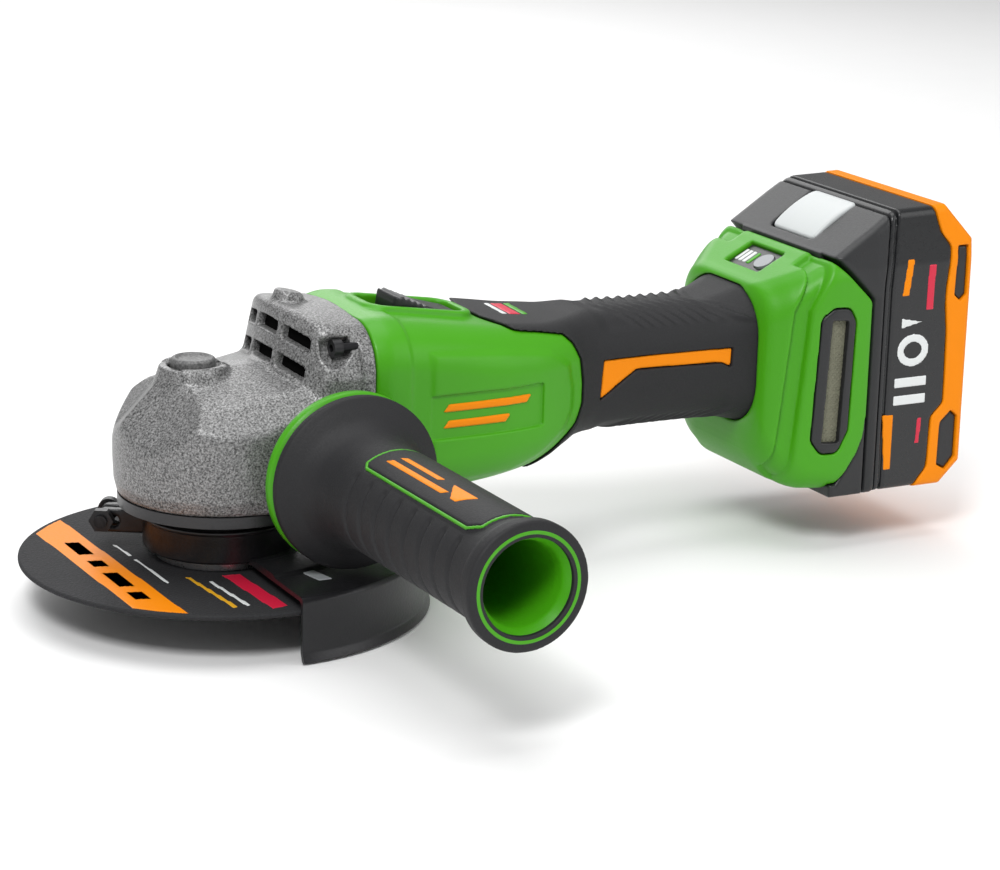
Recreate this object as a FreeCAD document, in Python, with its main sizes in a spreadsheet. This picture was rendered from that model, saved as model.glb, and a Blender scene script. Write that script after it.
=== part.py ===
import FreeCAD, Part
import math
import os
import re

import Sketcher

# Cordless 125 mm angle grinder, in millimetres.
# The origin is the centre of the clamp nut's outer face, on the spindle axis.
# +Z runs up the spindle, +X runs back along the motor to the battery, and -Y is the side handle's side.

DIMENSIONS = [
    ("seat_height", 8.0, "disc seat above the clamp nut's outer face"),
    ("disc_radius", 62.5, "125 mm cutting disc"),
    ("disc_thick", 1.6, "cutting disc thickness"),
    ("disc_bore", 11.1, "radius of the 22.2 mm disc bore"),
    ("flange_radius", 20.0, "clamp nut and inner flange"),
    ("thread_radius", 7.0, "M14 spindle thread"),
    ("journal_radius", 6.0, "spindle in its lower bearing and gear"),
    ("nose_radius", 5.0, "spindle in its upper bearing"),
    ("cover_base", 25.0, "underside of the bearing cover's flange"),
    ("case_base", 28.5, "underside of the gear case"),
    ("case_radius", 32.6, "round nose of the gear case"),
    ("neck_radius", 22.0, "guard neck on the bearing cover"),
    ("neck_low", 14.5, "lower end of the guard neck"),
    ("running_gap", 0.05, "radial clearance of a running fit"),
    ("guard_radius", 64.8, "outside of the guard's skirt"),
    ("guard_top", 12.4, "upper face of the guard's plate"),
    ("guard_low", -8.0, "lower rim of the guard"),
    ("guard_sheet", 1.4, "guard sheet thickness"),
    ("case_screw_y", 26.8, "case screws, either side of the middle"),
    ("case_screw_z", 77.2, "case screws, height"),
    ("motor_axis", 54.5, "height of the motor axis"),
    ("bracket_radius", 19.2, "rear motor bracket"),
    ("gear_module", 1.1, "bevel gear module"),
    ("crown_teeth", 38.0, "teeth on the crown gear"),
    ("pinion_teeth", 12.0, "teeth on the pinion"),
    ("face_ratio", 0.73, "inner end of the teeth over the outer end"),
    ("tooth_rise", 1.0, "addendum at the outer end"),
    ("tooth_fall", 1.35, "dedendum at the outer end"),
    ("tooth_half", 0.65, "half tooth thickness on the pitch line"),
    ("lock_radius", 11.5, "circle of the lock holes in the crown gear"),
    ("lock_pin_radius", 2.0, "spindle lock pin"),
    ("lock_x", -9.0, "centre of the spindle lock button"),
    ("lock_button_radius", 7.0, "spindle lock button"),
    ("case_back", 38.0, "joint between gear case and motor housing"),
    ("wall_thick", 2.6, "moulded wall"),
    ("handle_x", 24.0, "side handle axis, behind the spindle"),
    ("handle_height", 40.7, "side handle axis height"),
    ("boss_face", 38.0, "face of each side handle boss, from the centre"),
    ("stud_radius", 4.0, "M8 stud"),
    ("handle_length", 156.5, "free end of the side handle, from the centre"),
    ("handle_grip_radius", 17.0, "mean radius of the side handle's grip"),
    ("grip_start", 112.0, "front of the rubber grip"),
    ("grip_end", 182.0, "rear of the rubber grip"),
    ("rubber_thick", 1.6, "grip rubber over the moulded core"),
    ("adapter_back", 218.0, "rear face of the battery adapter"),
    ("adapter_low", 13.0, "underside of the battery adapter"),
    ("battery_front", 218.5, "front face of the battery"),
    ("battery_back", 258.0, "rear face of the battery"),
    ("battery_low", 10.4, "bottom of the battery"),
    ("battery_top", 107.0, "roof of the battery"),
    ("battery_half", 35.5, "half width of the battery"),
    ("battery_seam", 226.0, "front shell to rear shell"),
    ("trim_start", 243.0, "rear shell to orange trim"),
    ("hump_foot", 92.0, "height where the battery's slope starts"),
    ("channel_front", 203.3, "front wall of the battery channel"),
    ("channel_half", 24.4, "half width of the battery channel"),
    ("lip_half", 21.0, "half width between the channel's lips"),
    ("channel_floor", 19.6, "floor of the battery channel"),
    ("slide_gap", 0.4, "clearance around the battery foot"),
    ("cell_radius", 9.0, "18650 cell"),
    ("cell_length", 65.0, "18650 cell"),
    ("switch_tilt", 8.5, "slope of the housing's top, in degrees"),
    ("rock_radius", 1.0, "pivot pin under the switch knob"),
]

doc = FreeCAD.newDocument("AngleGrinder")
sheet = doc.addObject("Spreadsheet::Sheet", "dims")
for row, (alias, value, meaning) in enumerate(DIMENSIONS, start=1):
    sheet.set(f"A{row}", meaning)
    sheet.set(f"B{row}", str(value))
    sheet.setAlias(f"B{row}", alias)
doc.recompute()

SIDE_X = FreeCAD.Vector(1, 0, 0)
SIDE_Y = FreeCAD.Vector(0, 1, 0)
SIDE_Z = FreeCAD.Vector(0, 0, 1)
# For each direction: where a body's own X, Y and Z axes point.
DIRECTIONS = {
    "+Z": (SIDE_X, SIDE_Y, SIDE_Z),
    "-Z": (SIDE_X, -SIDE_Y, -SIDE_Z),
    "+X": (SIDE_Y, SIDE_Z, SIDE_X),
    "-Y": (SIDE_X, SIDE_Z, -SIDE_Y),
    "+Y": (SIDE_Z, SIDE_X, SIDE_Y),
}
CENTRE = ("0", "0", "0")
nodes = []


def formula(text):
    """The text with every sheet alias (a word with an underscore) written as a sheet reference."""
    return re.sub(r"[a-z]+_[a-z_]+", r"dims.\g<0>", text)


def number(text):
    """The value of a formula, in millimetres or degrees."""
    return float(sheet.evalExpression(text))


def keep(piece):
    """Count the object as a node, so that its Label names its file."""
    nodes.append(piece)
    return piece


def place(piece, at, towards="+Z", tilt=0.0):
    """Stand the object at a bound position, its own Z along a direction, then tilt it about Y."""
    turn = FreeCAD.Rotation(*DIRECTIONS[towards], "ZXY")
    piece.Placement = FreeCAD.Placement(FreeCAD.Vector(), FreeCAD.Rotation(SIDE_Y, tilt) * turn)
    for axis, text in zip("xyz", at):
        piece.setExpression(f"Placement.Base.{axis}", formula(text))


def new_body(label, at=CENTRE, towards="+Z", tilt=0.0):
    body = doc.addObject("PartDesign::Body", label)
    body.Label = label
    place(body, at, towards, tilt)
    return body


def new_sketch(body, height="0"):
    """An empty sketch on the body's own XY plane, lifted along the body's Z."""
    sketch = body.newObject("Sketcher::SketchObject", "Sketch")
    plane = [item for item in body.Origin.OriginFeatures if item.Role == "XY_Plane"][0]
    sketch.AttachmentSupport = [(plane, "")]
    sketch.MapMode = "FlatFace"
    sketch.setExpression("AttachmentOffset.Base.z", formula(height))
    return sketch


def hold_point(sketch, element, point, across, upward):
    """Bind one point of a sketch element to two formulas."""
    for kind, axis, text in (("DistanceX", -2, across), ("DistanceY", -1, upward)):
        value = number(text)
        if abs(value) < 1e-9:
            sketch.addConstraint(Sketcher.Constraint("PointOnObject", element, point, axis))
            continue
        index = sketch.addConstraint(Sketcher.Constraint(kind, -1, 1, element, point, value))
        sketch.setExpression(f"Constraints[{index}]", formula(text))


def outline(body, points, height="0"):
    """A closed polygon through points given as pairs of formulas."""
    sketch = new_sketch(body, height)
    corners = [FreeCAD.Vector(number(across), number(upward), 0) for across, upward in points]
    count = len(corners)
    sketch.addGeometry([Part.LineSegment(corners[k], corners[(k + 1) % count]) for k in range(count)])
    for k in range(count):
        sketch.addConstraint(Sketcher.Constraint("Coincident", k, 2, (k + 1) % count, 1))
    for k, (across, upward) in enumerate(points):
        hold_point(sketch, k, 1, across, upward)
    return sketch


def circles(body, rounds, height="0"):
    """Circles given as (x, y, radius) formulas."""
    sketch = new_sketch(body, height)
    for k, (across, upward, radius) in enumerate(rounds):
        middle = FreeCAD.Vector(number(across), number(upward), 0)
        sketch.addGeometry(Part.Circle(middle, SIDE_Z, number(radius)))
        hold_point(sketch, k, 3, across, upward)
        index = sketch.addConstraint(Sketcher.Constraint("Radius", k, number(radius)))
        sketch.setExpression(f"Constraints[{index}]", formula(radius))
    return sketch


def rounded(body, height, half, low, high, corner):
    """A rounded rectangle, symmetric about the sketch's vertical axis."""
    sketch = new_sketch(body, height)
    right, left = f"({half}) - ({corner})", f"({corner}) - ({half})"
    bottom, top = f"({low}) + ({corner})", f"({high}) - ({corner})"
    centres = [(right, bottom), (right, top), (left, top), (left, bottom)]
    elements = []
    for k, (across, upward) in enumerate(centres):
        middle = FreeCAD.Vector(number(across), number(upward), 0)
        start = math.radians(90 * (k - 1))
        circle = Part.Circle(middle, SIDE_Z, number(corner))
        elements.append(Part.ArcOfCircle(circle, start, start + math.pi / 2))
    for k in range(4):
        elements.append(Part.LineSegment(elements[k].EndPoint, elements[(k + 1) % 4].StartPoint))
    sketch.addGeometry(elements)
    for k in range(4):
        sketch.addConstraint(Sketcher.Constraint("Tangent", k, 2, 4 + k, 1))
        sketch.addConstraint(Sketcher.Constraint("Tangent", 4 + k, 2, (k + 1) % 4, 1))
    for k, (across, upward) in enumerate(centres):
        hold_point(sketch, k, 3, across, upward)
        index = sketch.addConstraint(Sketcher.Constraint("Radius", k, number(corner)))
        sketch.setExpression(f"Constraints[{index}]", formula(corner))
    return sketch


def pad(body, sketch, length):
    feature = body.newObject("PartDesign::Pad", "Pad")
    feature.Profile = sketch
    feature.setExpression("Length", formula(length))
    return feature


def pocket(body, sketch, depth):
    """Cut from the sketch upwards along the body's Z, and stop if nothing is cut."""
    doc.recompute()
    before = body.Shape.Volume
    feature = body.newObject("PartDesign::Pocket", "Pocket")
    feature.Profile = sketch
    feature.Reversed = True
    feature.setExpression("Length", formula(depth))
    doc.recompute()
    if body.Shape.Volume > before - 1e-3:
        raise ValueError(f"a pocket of {body.Label} cuts nothing")
    return feature


def revolve(body, sketch, angle=360.0):
    """Turn the profile about the sketch's vertical axis."""
    feature = body.newObject("PartDesign::Revolution", "Revolution")
    feature.Profile = sketch
    feature.ReferenceAxis = (sketch, ["V_Axis"])
    feature.Angle = angle
    return feature


def around(body, feature, count):
    """Repeat a feature evenly about the body's own Z axis."""
    doc.recompute()
    pattern = body.newObject("PartDesign::PolarPattern", "PolarPattern")
    pattern.Originals = [feature]
    axis = [item for item in body.Origin.OriginFeatures if item.Role == "Z_Axis"][0]
    pattern.Axis = (axis, [""])
    pattern.Angle = 360
    pattern.Occurrences = count
    body.Tip = pattern
    return pattern


def turned(label, profile, at=CENTRE, towards="+Z"):
    """A node turned about an axis: the profile is (radius, distance along the axis)."""
    body = new_body(label, at, "+Z")
    sketch = outline(body, profile)
    # The profile lies in a plane that holds the axis, so the sketch is stood up about its own X.
    sketch.AttachmentOffset = FreeCAD.Placement(FreeCAD.Vector(), FreeCAD.Rotation(SIDE_X, 90))
    revolve(body, sketch)
    turn = FreeCAD.Rotation(*DIRECTIONS[towards], "ZXY")
    body.Placement = FreeCAD.Placement(body.Placement.Base, turn)
    return body


def ring(label, inner, outer, start, length, at=CENTRE, towards="+Z"):
    """A plain ring or sleeve as a node."""
    low, high = start, f"({start}) + ({length})"
    return keep(turned(label, [(inner, low), (outer, low), (outer, high), (inner, high)], at, towards))


def slab(label, points, thick, at=CENTRE, towards="+Z", tilt=0.0, start="0"):
    """A padded outline as a body, from a start height along the body's own Z."""
    body = new_body(label, at, towards, tilt)
    pad(body, outline(body, points, start), thick)
    return body


def sheet_outline(front, back, half):
    """The four corners of a rectangle that is symmetric about the body's own X."""
    return [(front, f"-({half})"), (back, f"-({half})"), (back, half), (front, half)]


def block(label, x, y, z):
    """A box from three (low, high) pairs of formulas."""
    box = doc.addObject("Part::Box", label)
    box.Label = label
    place(box, (x[0], y[0], z[0]))
    for side, (low, high) in zip(("Length", "Width", "Height"), (x, y, z)):
        box.setExpression(side, formula(f"({high}) - ({low})"))
    return box


def rod(label, radius, length, at, towards="+Z"):
    cylinder = doc.addObject("Part::Cylinder", label)
    cylinder.Label = label
    place(cylinder, at, towards)
    cylinder.setExpression("Radius", formula(radius))
    cylinder.setExpression("Height", formula(length))
    return cylinder


def joined(label, pieces):
    result = doc.addObject("Part::MultiFuse", label)
    result.Label = label
    result.Shapes = pieces
    return result


def shared(label, pieces):
    result = doc.addObject("Part::MultiCommon", label)
    result.Label = label
    result.Shapes = pieces
    return result


def cut(label, base, tool):
    result = doc.addObject("Part::Cut", label)
    result.Label = label
    result.Base = base
    result.Tool = tool
    return result


def loft(body, kind, sections):
    """A ruled loft through sections given as (station, half width, low, high, corner)."""
    sketches = [rounded(body, *section) for section in sections]
    feature = body.newObject(f"PartDesign::{kind}", kind)
    feature.Profile = sketches[0]
    feature.Sections = sketches[1:]
    feature.Ruled = True
    return feature


# ---------------------------------------------------------------- spindle group

CROWN_PITCH = "gear_module * crown_teeth / 2"
PINION_PITCH = "gear_module * pinion_teeth / 2"
TOOTH_ROOT_DEPTH = 0.25
PRESSURE_ANGLE = 20.0


def cutting_disc():
    low = "seat_height - disc_thick"
    ring("cutting_disc", "disc_bore", "disc_radius", low, "disc_thick")


def clamp_nut():
    """A round flange nut with two holes for a pin spanner."""
    body = new_body("clamp_nut")
    rims = circles(body, [("0", "0", "flange_radius"), ("0", "0", "thread_radius")])
    pad(body, rims, "seat_height - disc_thick")
    holes = circles(body, [("15", "0", "2.5"), ("-15", "0", "2.5")])
    pocket(body, holes, "4")
    keep(body)


def inner_flange():
    """The flange behind the disc, with a boss that centres the disc's bore."""
    boss = "disc_bore - 0.1"
    keep(turned("inner_flange", [
        ("thread_radius", "seat_height - 1.2"), (boss, "seat_height - 1.2"), (boss, "seat_height"),
        ("flange_radius", "seat_height"), ("flange_radius", "seat_height + 3"),
        ("9", "seat_height + 4.5"), ("9", "17"), ("thread_radius", "17")]))


def spindle():
    keep(turned("spindle", [
        ("0", "0.6"), ("thread_radius - 0.8", "0.6"), ("thread_radius", "1.4"), ("thread_radius", "17"),
        ("journal_radius", "17"), ("journal_radius", "47.5"), ("nose_radius", "47.5"),
        ("nose_radius", "59"), ("0", "59")]))


def crown_gear():
    """A bevel crown gear facing up, with four lock holes inside its teeth."""
    blank = turned("crown_gear", [
        ("journal_radius", "37"), ("11", "37"), ("11", "40.5"), ("21.3", "42.5"), ("21.3", "46.35"),
        ("15.2", "48.67"), ("14.6", "47"), ("journal_radius", "47")])
    doc.recompute()
    solid = blank.Shape
    apex = FreeCAD.Vector(0, 0, number("motor_axis"))
    outer, count = number(CROWN_PITCH), int(number("crown_teeth"))
    level = number(f"motor_axis - ({PINION_PITCH})")
    tooth = bevel_tooth(apex, outer, level)
    step = 360.0 / count
    teeth = [tooth.rotated(apex, SIDE_Z, step * k) for k in range(count)]
    holes = []
    for k in range(4):
        angle = math.radians(90 * k)
        radius = number("lock_radius")
        foot = FreeCAD.Vector(radius * math.cos(angle), radius * math.sin(angle), 36)
        holes.append(Part.makeCylinder(number("lock_pin_radius") + 0.45, 14, foot))
    finish_gear(blank, "crown_gear", solid.fuse(teeth).cut(holes))


def bevel_tooth(apex, outer, level):
    """A tooth at azimuth 0: planar sides that all run towards the apex, from the outer to the inner end."""
    half, rise = number("tooth_half"), number("tooth_rise")
    fall = number("tooth_fall") + TOOTH_ROOT_DEPTH
    slope = math.tan(math.radians(PRESSURE_ANGLE))
    section = [
        FreeCAD.Vector(outer, -(half + fall * slope), level - fall),
        FreeCAD.Vector(outer, half + fall * slope, level - fall),
        FreeCAD.Vector(outer, half - rise * slope, level + rise),
        FreeCAD.Vector(outer, -(half - rise * slope), level + rise)]
    inner = [apex + (corner - apex) * number("face_ratio") for corner in section]
    wires = [Part.makePolygon(ends + ends[:1]) for ends in (section, inner)]
    return Part.makeLoft(wires, True, True)


def finish_gear(blank, label, shape):
    """Keep the toothed shape as the node in place of its plain blank."""
    blank.Label = label + "_blank"
    gear = doc.addObject("Part::Feature", label + "_toothed")
    gear.Label = label
    gear.Shape = shape.removeSplitter()
    keep(gear)


def pinion():
    """The bevel pinion on the motor shaft, half a tooth out of line so that it meshes at rest."""
    at = ("0", "0", "motor_axis")
    blank = turned("pinion", [
        ("3", "15.3"), ("3.75", "15.3"), ("5.15", "20.9"), ("7.2", "21.4"), ("7.2", "24"), ("3", "24")],
        at, "+X")
    doc.recompute()
    apex = FreeCAD.Vector(0, 0, number("motor_axis"))
    count = int(number("pinion_teeth"))
    level = number(f"motor_axis + ({PINION_PITCH})")
    tooth = bevel_tooth(apex, number(CROWN_PITCH), level)
    step = 360.0 / count
    teeth = [tooth.rotated(apex, SIDE_X, step * (k + 0.5)) for k in range(count)]
    finish_gear(blank, "pinion", blank.Shape.fuse(teeth))


def spindle_bearings():
    """A ball bearing below the gear, as two rings, and a needle bearing above it."""
    ring("lower_bearing_outer", "12.5", "16", "17", "10")
    ring("lower_bearing_inner", "journal_radius", "9", "17", "10")
    ring("needle_bearing", "nose_radius + running_gap", "7.5", "54", "5")


# ---------------------------------------------------------------- gear case and guard

def bearing_cover():
    """The cover under the gear case: its neck carries the guard and it holds the lower bearing."""
    form = turned("bearing_cover_form", [
        ("13", "neck_low"), ("neck_radius", "neck_low"), ("neck_radius", "cover_base"),
        ("case_radius - 0.8", "cover_base"), ("case_radius - 0.8", "case_base"),
        ("16", "case_base"), ("16", "17"), ("13", "17")])
    pockets = [rod(f"cover_pocket_{k}", "3.7", "2.4", at) for k, at in enumerate(screw_places("cover_base"))]
    holes = [rod(f"cover_hole_{k}", "2.1", "8", at) for k, at in enumerate(screw_places("cover_base"))]
    keep(cut("bearing_cover", form, joined("cover_cuts", pockets + holes)))


def screw_places(height):
    """Four screws on a circle of 26.8 mm radius, at 45 degrees to the axes."""
    arm = "26.8 * cos(45)"
    return [(f"{x} * {arm}", f"{y} * {arm}", height) for x in ("1", "-1") for y in ("1", "-1")]


def socket_screw(label, head, shank, head_length, shank_length, at, towards="+Z"):
    """A cap screw whose head starts at the given place, with a hexagon socket in it."""
    body = new_body(label, at, towards)
    pad(body, circles(body, [("0", "0", head)]), head_length)
    pad(body, circles(body, [("0", "0", shank)], head_length), shank_length)
    key = f"({head}) * 0.5"
    corners = [(f"{key} * cos({60 * k})", f"{key} * sin({60 * k})") for k in range(6)]
    pocket(body, outline(body, corners), f"({head_length}) * 0.6")
    return keep(body)


def gear_case():
    """The cast gear case: a side profile met by a plan, with bevelled shoulders and a bored inside."""
    reach = "case_radius + 1"
    side = slab("case_side", [
        ("-case_radius", "case_base"), ("-case_radius", "36"), ("1.6 - case_radius", "47.5"),
        ("1.6 - case_radius", "54"), ("-18", "67.8"), ("13", "68.8"), ("16", "85"), ("29", "86.3"),
        ("case_back", "83.3"), ("case_back", "25"),
        ("35", "25"), ("34", "case_base")], f"2 * ({reach})", ("0", reach, "0"), "-Y")
    nose = rod("case_nose", "case_radius", "80", ("0", "0", "20"))
    rear = block("case_rear", ("0", "case_back"), ("-case_radius + 1", "case_radius - 1"), ("20", "100"))
    plan = joined("case_plan", [nose, rear])
    boss = rod("handle_boss", "12", "boss_face * 2", ("handle_x", "boss_face", "handle_height"), "-Y")
    lock_boss = rod("lock_boss", "10", "8.6", ("lock_x", "0", "61"))
    solid = joined("case_solid", [shared("case_form", [side, plan]), boss, lock_boss])
    tools = [
        rod("crown_room", "23.4", "23.5", ("0", "0", "20")),
        rod("gear_room", "22.8", "10", ("0", "0", "43")),
        block("pinion_room", ("0", "27.9"), ("-11", "11"), ("46", "63")),
        rod("bearing_seat", "11", "12", ("27.9", "0", "motor_axis"), "+X"),
        rod("needle_seat", "7.5", "7", ("0", "0", "52")),
        rod("pin_bore", "lock_pin_radius + running_gap", "30", ("-lock_radius", "0", "50")),
        rod("button_bore", "lock_button_radius + running_gap", "12", ("lock_x", "0", "61.6")),
    ]
    for k, side_sign in enumerate(("1", "-1")):
        tools.append(shoulder(k, side_sign))
    thread = "stud_radius + running_gap"
    tools.append(rod("thread_left", thread, "14", ("handle_x", "-boss_face + 14", "handle_height"), "-Y"))
    tools.append(rod("thread_right", thread, "14", ("handle_x", "boss_face", "handle_height"), "-Y"))
    holes = [rod(f"case_hole_{k}", "2.1", "8", at) for k, at in enumerate(screw_places("case_base - 1"))]
    for k, side_sign in enumerate(("1", "-1")):
        y = f"{side_sign} * case_screw_y"
        holes.append(rod(f"case_scallop_{k}", "4.2", "20", ("8", y, "case_screw_z"), "+X"))
        holes.append(rod(f"case_screw_hole_{k}", "1.6", "12", ("27", y, "case_screw_z"), "+X"))
    keep(cut("gear_case", solid, joined("case_cuts", tools + holes + vent_slots())))


def shoulder(k, side_sign):
    """The wedge cut off the case's shoulder on one side, in front of the vent block."""
    wedge = slab(f"shoulder_{k}", [
        (f"{side_sign} * 33.8", "53"), (f"{side_sign} * 17", "72.5"), (f"{side_sign} * 40", "72.5"),
        (f"{side_sign} * 40", "53")], "54", ("-40", "0", "0"), "+X")
    return wedge


def vent_slots():
    """Two rows of three air slots in the leaning face of the vent block."""
    columns = (("-25", "-10", "1.6"), ("-7", "7", "0"), ("10", "25", "1.6"))
    slots = []
    for row, height in enumerate(("69.3", "78")):
        for column, (low, high, drop) in enumerate(columns):
            level = f"{height} - {drop}"
            slots.append(block(f"vent_{row}_{column}", ("10", "24"), (low, high), (level, f"{level} + 4.2")))
    slots.append(block("vent_plenum", ("23.6", "case_back"), ("-24", "24"), ("67.7", "81.5")))
    return slots


GUARD_START = -91.0
LUG_ANGLE = 148.0


def guard():
    """A half-round guard: a collar on the neck, a flat plate and a skirt with a kicked rim."""
    inner = "guard_radius - guard_sheet"
    under = "guard_top - guard_sheet"
    shell = new_body("guard_half")
    profile = outline(shell, [
        ("neck_radius + running_gap", under), (inner, under), (inner, "guard_low + 3"),
        ("guard_radius", "guard_low"), ("guard_radius + 1.6", "guard_low"),
        ("guard_radius", "guard_low + 3"), ("guard_radius", "guard_top"),
        ("neck_radius + running_gap", "guard_top")])
    profile.AttachmentOffset = FreeCAD.Placement(FreeCAD.Vector(), FreeCAD.Rotation(SIDE_X, 90))
    revolve(shell, profile, 180.0)
    shell.Placement = FreeCAD.Placement(FreeCAD.Vector(), FreeCAD.Rotation(SIDE_Z, GUARD_START))
    collar = turned("guard_collar", [
        ("neck_radius + running_gap", under), ("neck_radius + 2", under), ("neck_radius + 2", "21.5"),
        ("neck_radius + running_gap", "21.5")])
    lug = block("guard_lug", ("neck_radius + 1", "37.5"), ("-5", "5"), ("15.5", "21.5"))
    lug_end = rod("guard_lug_end", "5", "6", ("37.5", "0", "15.5"))
    ears = joined("guard_ears", [lug, lug_end])
    gap = block("guard_gap", ("neck_radius - 1", "45"), ("-0.8", "0.8"), ("15", "22"))
    bore = rod("guard_screw_bore", "2.1", "12", ("36", "6", "18.5"), "-Y")
    split = cut("guard_split", ears, joined("guard_lug_cuts", [gap, bore]))
    spin_to_lug(split)
    keep(joined("guard", [shell, collar, split]))
    screw = socket_screw("guard_clamp_screw", "3.4", "2.05", "3", "14", ("36", "-8", "18.5"), "+Y")
    nut = new_body("guard_clamp_nut", ("36", "8", "18.5"), "-Y")
    corners = [(f"3.9 * cos({60 * k})", f"3.9 * sin({60 * k})") for k in range(6)]
    pad(nut, outline(nut, corners), "3")
    pocket(nut, circles(nut, [("0", "0", "2.05")]), "3")
    keep(nut)
    for piece in (screw, nut):
        spin_to_lug(piece)


def spin_to_lug(piece):
    """Carry a piece made on the +X axis round to the clamp's place at the front of the guard."""
    spin = FreeCAD.Placement(FreeCAD.Vector(), FreeCAD.Rotation(SIDE_Z, LUG_ANGLE))
    doc.recompute()
    piece.Placement = spin * piece.Placement
    for axis in "xyz":
        piece.setExpression(f"Placement.Base.{axis}", None)


def spindle_lock():
    """The press button over the gear, its pin and its return spring."""
    keep(turned("spindle_lock_button", [
        ("0", "66.2"), ("lock_button_radius", "66.2"), ("lock_button_radius", "71.2"),
        ("lock_button_radius - 1.2", "72.4"), ("0", "72.4")], ("lock_x", "0", "0")))
    keep(rod("spindle_lock_pin", "lock_pin_radius", "17.2", ("-lock_radius", "0", "49")))
    ring("spindle_lock_spring", "2.6", "3.4", "61.7", "4.4", ("-lock_radius", "0", "0"))


# ---------------------------------------------------------------- side handle

def side_handle():
    """The green core, its rubber grip with finger waves, a badge, the stud and the lock washer."""
    at = ("handle_x", "0", "handle_height")
    ring("handle_washer", "stud_radius + 0.3", "11.6", "boss_face + 0.3", "1.2", at, "-Y")
    front = "boss_face + 1.8"
    keep(turned("handle_core", [
        ("stud_radius", front), ("27", front), ("27", f"{front} + 2.6"), ("15.5", f"{front} + 4"),
        ("13.5", "45.8"), ("13.5", "handle_length - 4"), ("16.3", "handle_length - 3"),
        ("16.3", "handle_length"), ("14.8", "handle_length"), ("12", "handle_length - 5"), ("12", "72"),
        ("stud_radius", "72")], at, "-Y"))
    waves = [("13.5", "46"), ("27", "46"), ("27", "48.6"), ("20", "51.5")]
    count = 22
    for k in range(1, count):
        share = k / count
        along = f"51.5 + (handle_length - 59.5) * {share:.4f}"
        radius = f"handle_grip_radius + 1.1 * cos({360 * 4 * share:.1f}) - 1.2 * sin({180 * share:.1f})"
        waves.append((radius, along))
    waves += [("19.4", "handle_length - 5"), ("19.4", "handle_length - 3"), ("13.5", "handle_length - 4.2")]
    grip = turned("handle_grip_form", waves, at, "-Y")
    seat = block("badge_seat", ("handle_x - 6", "handle_x + 6"), ("-118", "-82"),
                 ("handle_height + 15.6", "70"))
    keep(cut("handle_grip", grip, seat))
    badge = slab("handle_badge", [("-5.6", "-17.6"), ("5.6", "-17.6"), ("5.6", "17.6"), ("-5.6", "17.6")],
                 "2.4", ("handle_x", "-100", "handle_height + 15.7"))
    keep(badge)
    keep(rod("handle_stud", "stud_radius", "48", ("handle_x", "-boss_face + 12.5", "handle_height"), "-Y"))


# ---------------------------------------------------------------- motor

def motor():
    at = ("0", "0", "motor_axis")
    keep(turned("rotor", [
        ("0", "14.5"), ("3", "14.5"), ("3", "24"), ("4", "24"), ("4", "54"), ("13", "54"), ("13", "82"),
        ("4", "82"), ("4", "87.6"), ("3", "87.6"), ("3", "95"), ("0", "95")], at, "+X"))
    ring("rotor_front_bearing_outer", "8", "11", "28", "7", at, "+X")
    ring("rotor_front_bearing_inner", "4", "6", "28", "7", at, "+X")
    ring("rotor_rear_bearing_outer", "7", "9.5", "88", "6", at, "+X")
    ring("rotor_rear_bearing_inner", "3", "5", "88", "6", at, "+X")
    keep(turned("motor_bracket", [
        ("9.5", "88"), ("9.5", "94"), ("bracket_radius", "94"), ("bracket_radius", "84.5"),
        ("bracket_radius - 1.4", "84.5"), ("bracket_radius - 1.4", "91"),
        ("12", "91"), ("12", "88")], at, "+X"))
    stator_core()
    cooling_fan()
    ring("fan_baffle", "20", "25.6", "38.4", "2.2", at, "+X")


def stator_core():
    """The wound stator: a laminated ring with six poles."""
    body = new_body("stator", ("54", "0", "motor_axis"), "+X")
    pad(body, circles(body, [("0", "0", "20.4"), ("0", "0", "13.5")]), "28")
    slot = outline(body, [("3.2", "14.4"), ("4.6", "18"), ("-4.6", "18"), ("-3.2", "14.4")])
    around(body, pocket(body, slot, "28"), 6)
    keep(body)


def cooling_fan():
    """The radial fan: a hub, a back plate and nine blades."""
    body = new_body("fan", ("42.5", "0", "motor_axis"), "+X")
    pad(body, circles(body, [("0", "0", "23"), ("0", "0", "4")]), "1.6")
    pad(body, circles(body, [("0", "0", "8"), ("0", "0", "4")]), "8")
    blade = outline(body, [("7", "-0.8"), ("22.6", "-0.8"), ("22.6", "0.8"), ("7", "0.8")], "1")
    around(body, pad(body, blade, "7"), 9)
    keep(body)


# ---------------------------------------------------------------- housing

def housing_sections(inset):
    """Stations of the green housing: (station, half width, low, high, corner), shrunk by an inset."""
    rubber = "rubber_thick"
    stations = [
        ("case_back + 0.2", "32", "25", "83.2", "15"),
        ("44", "33", "25", "84", "15"),
        ("81", "33", "27", "78.6", "15"),
        ("95", "31", "29", "76.6", "14"),
        ("grip_start - 1", "25.5", "34", "75.4", "13"),
        ("grip_start", f"25 - {rubber}", f"34.4 + {rubber}", f"75.2 - {rubber}", "12"),
        ("125", f"21 - {rubber}", f"36 + {rubber}", f"76 - {rubber}", "11"),
        ("150", f"20 - {rubber}", f"35.9 + {rubber}", f"75.5 - {rubber}", "11"),
        ("172", f"20.4 - {rubber}", f"35.6 + {rubber}", f"76 - {rubber}", "11"),
        ("grip_end - 1", f"22 - {rubber}", f"34.4 + {rubber}", f"79 - {rubber}", "11"),
        ("grip_end", "24", "31", "80.2", "12"),
        ("186", "27", "20", "82", "12"),
        ("191", "31.5", "14.5", "84.6", "10"),
        ("197", "34.6", "adapter_low", "88", "9"),
        ("206", "36", "adapter_low", "91.4", "7"),
        ("adapter_back", "36", "adapter_low", "91.4", "6"),
    ]
    return [(x, f"{half} - {inset}", f"{low} + {inset}", f"{high} - {inset}", f"{corner} - {inset}")
            for x, half, low, high, corner in stations]


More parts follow.
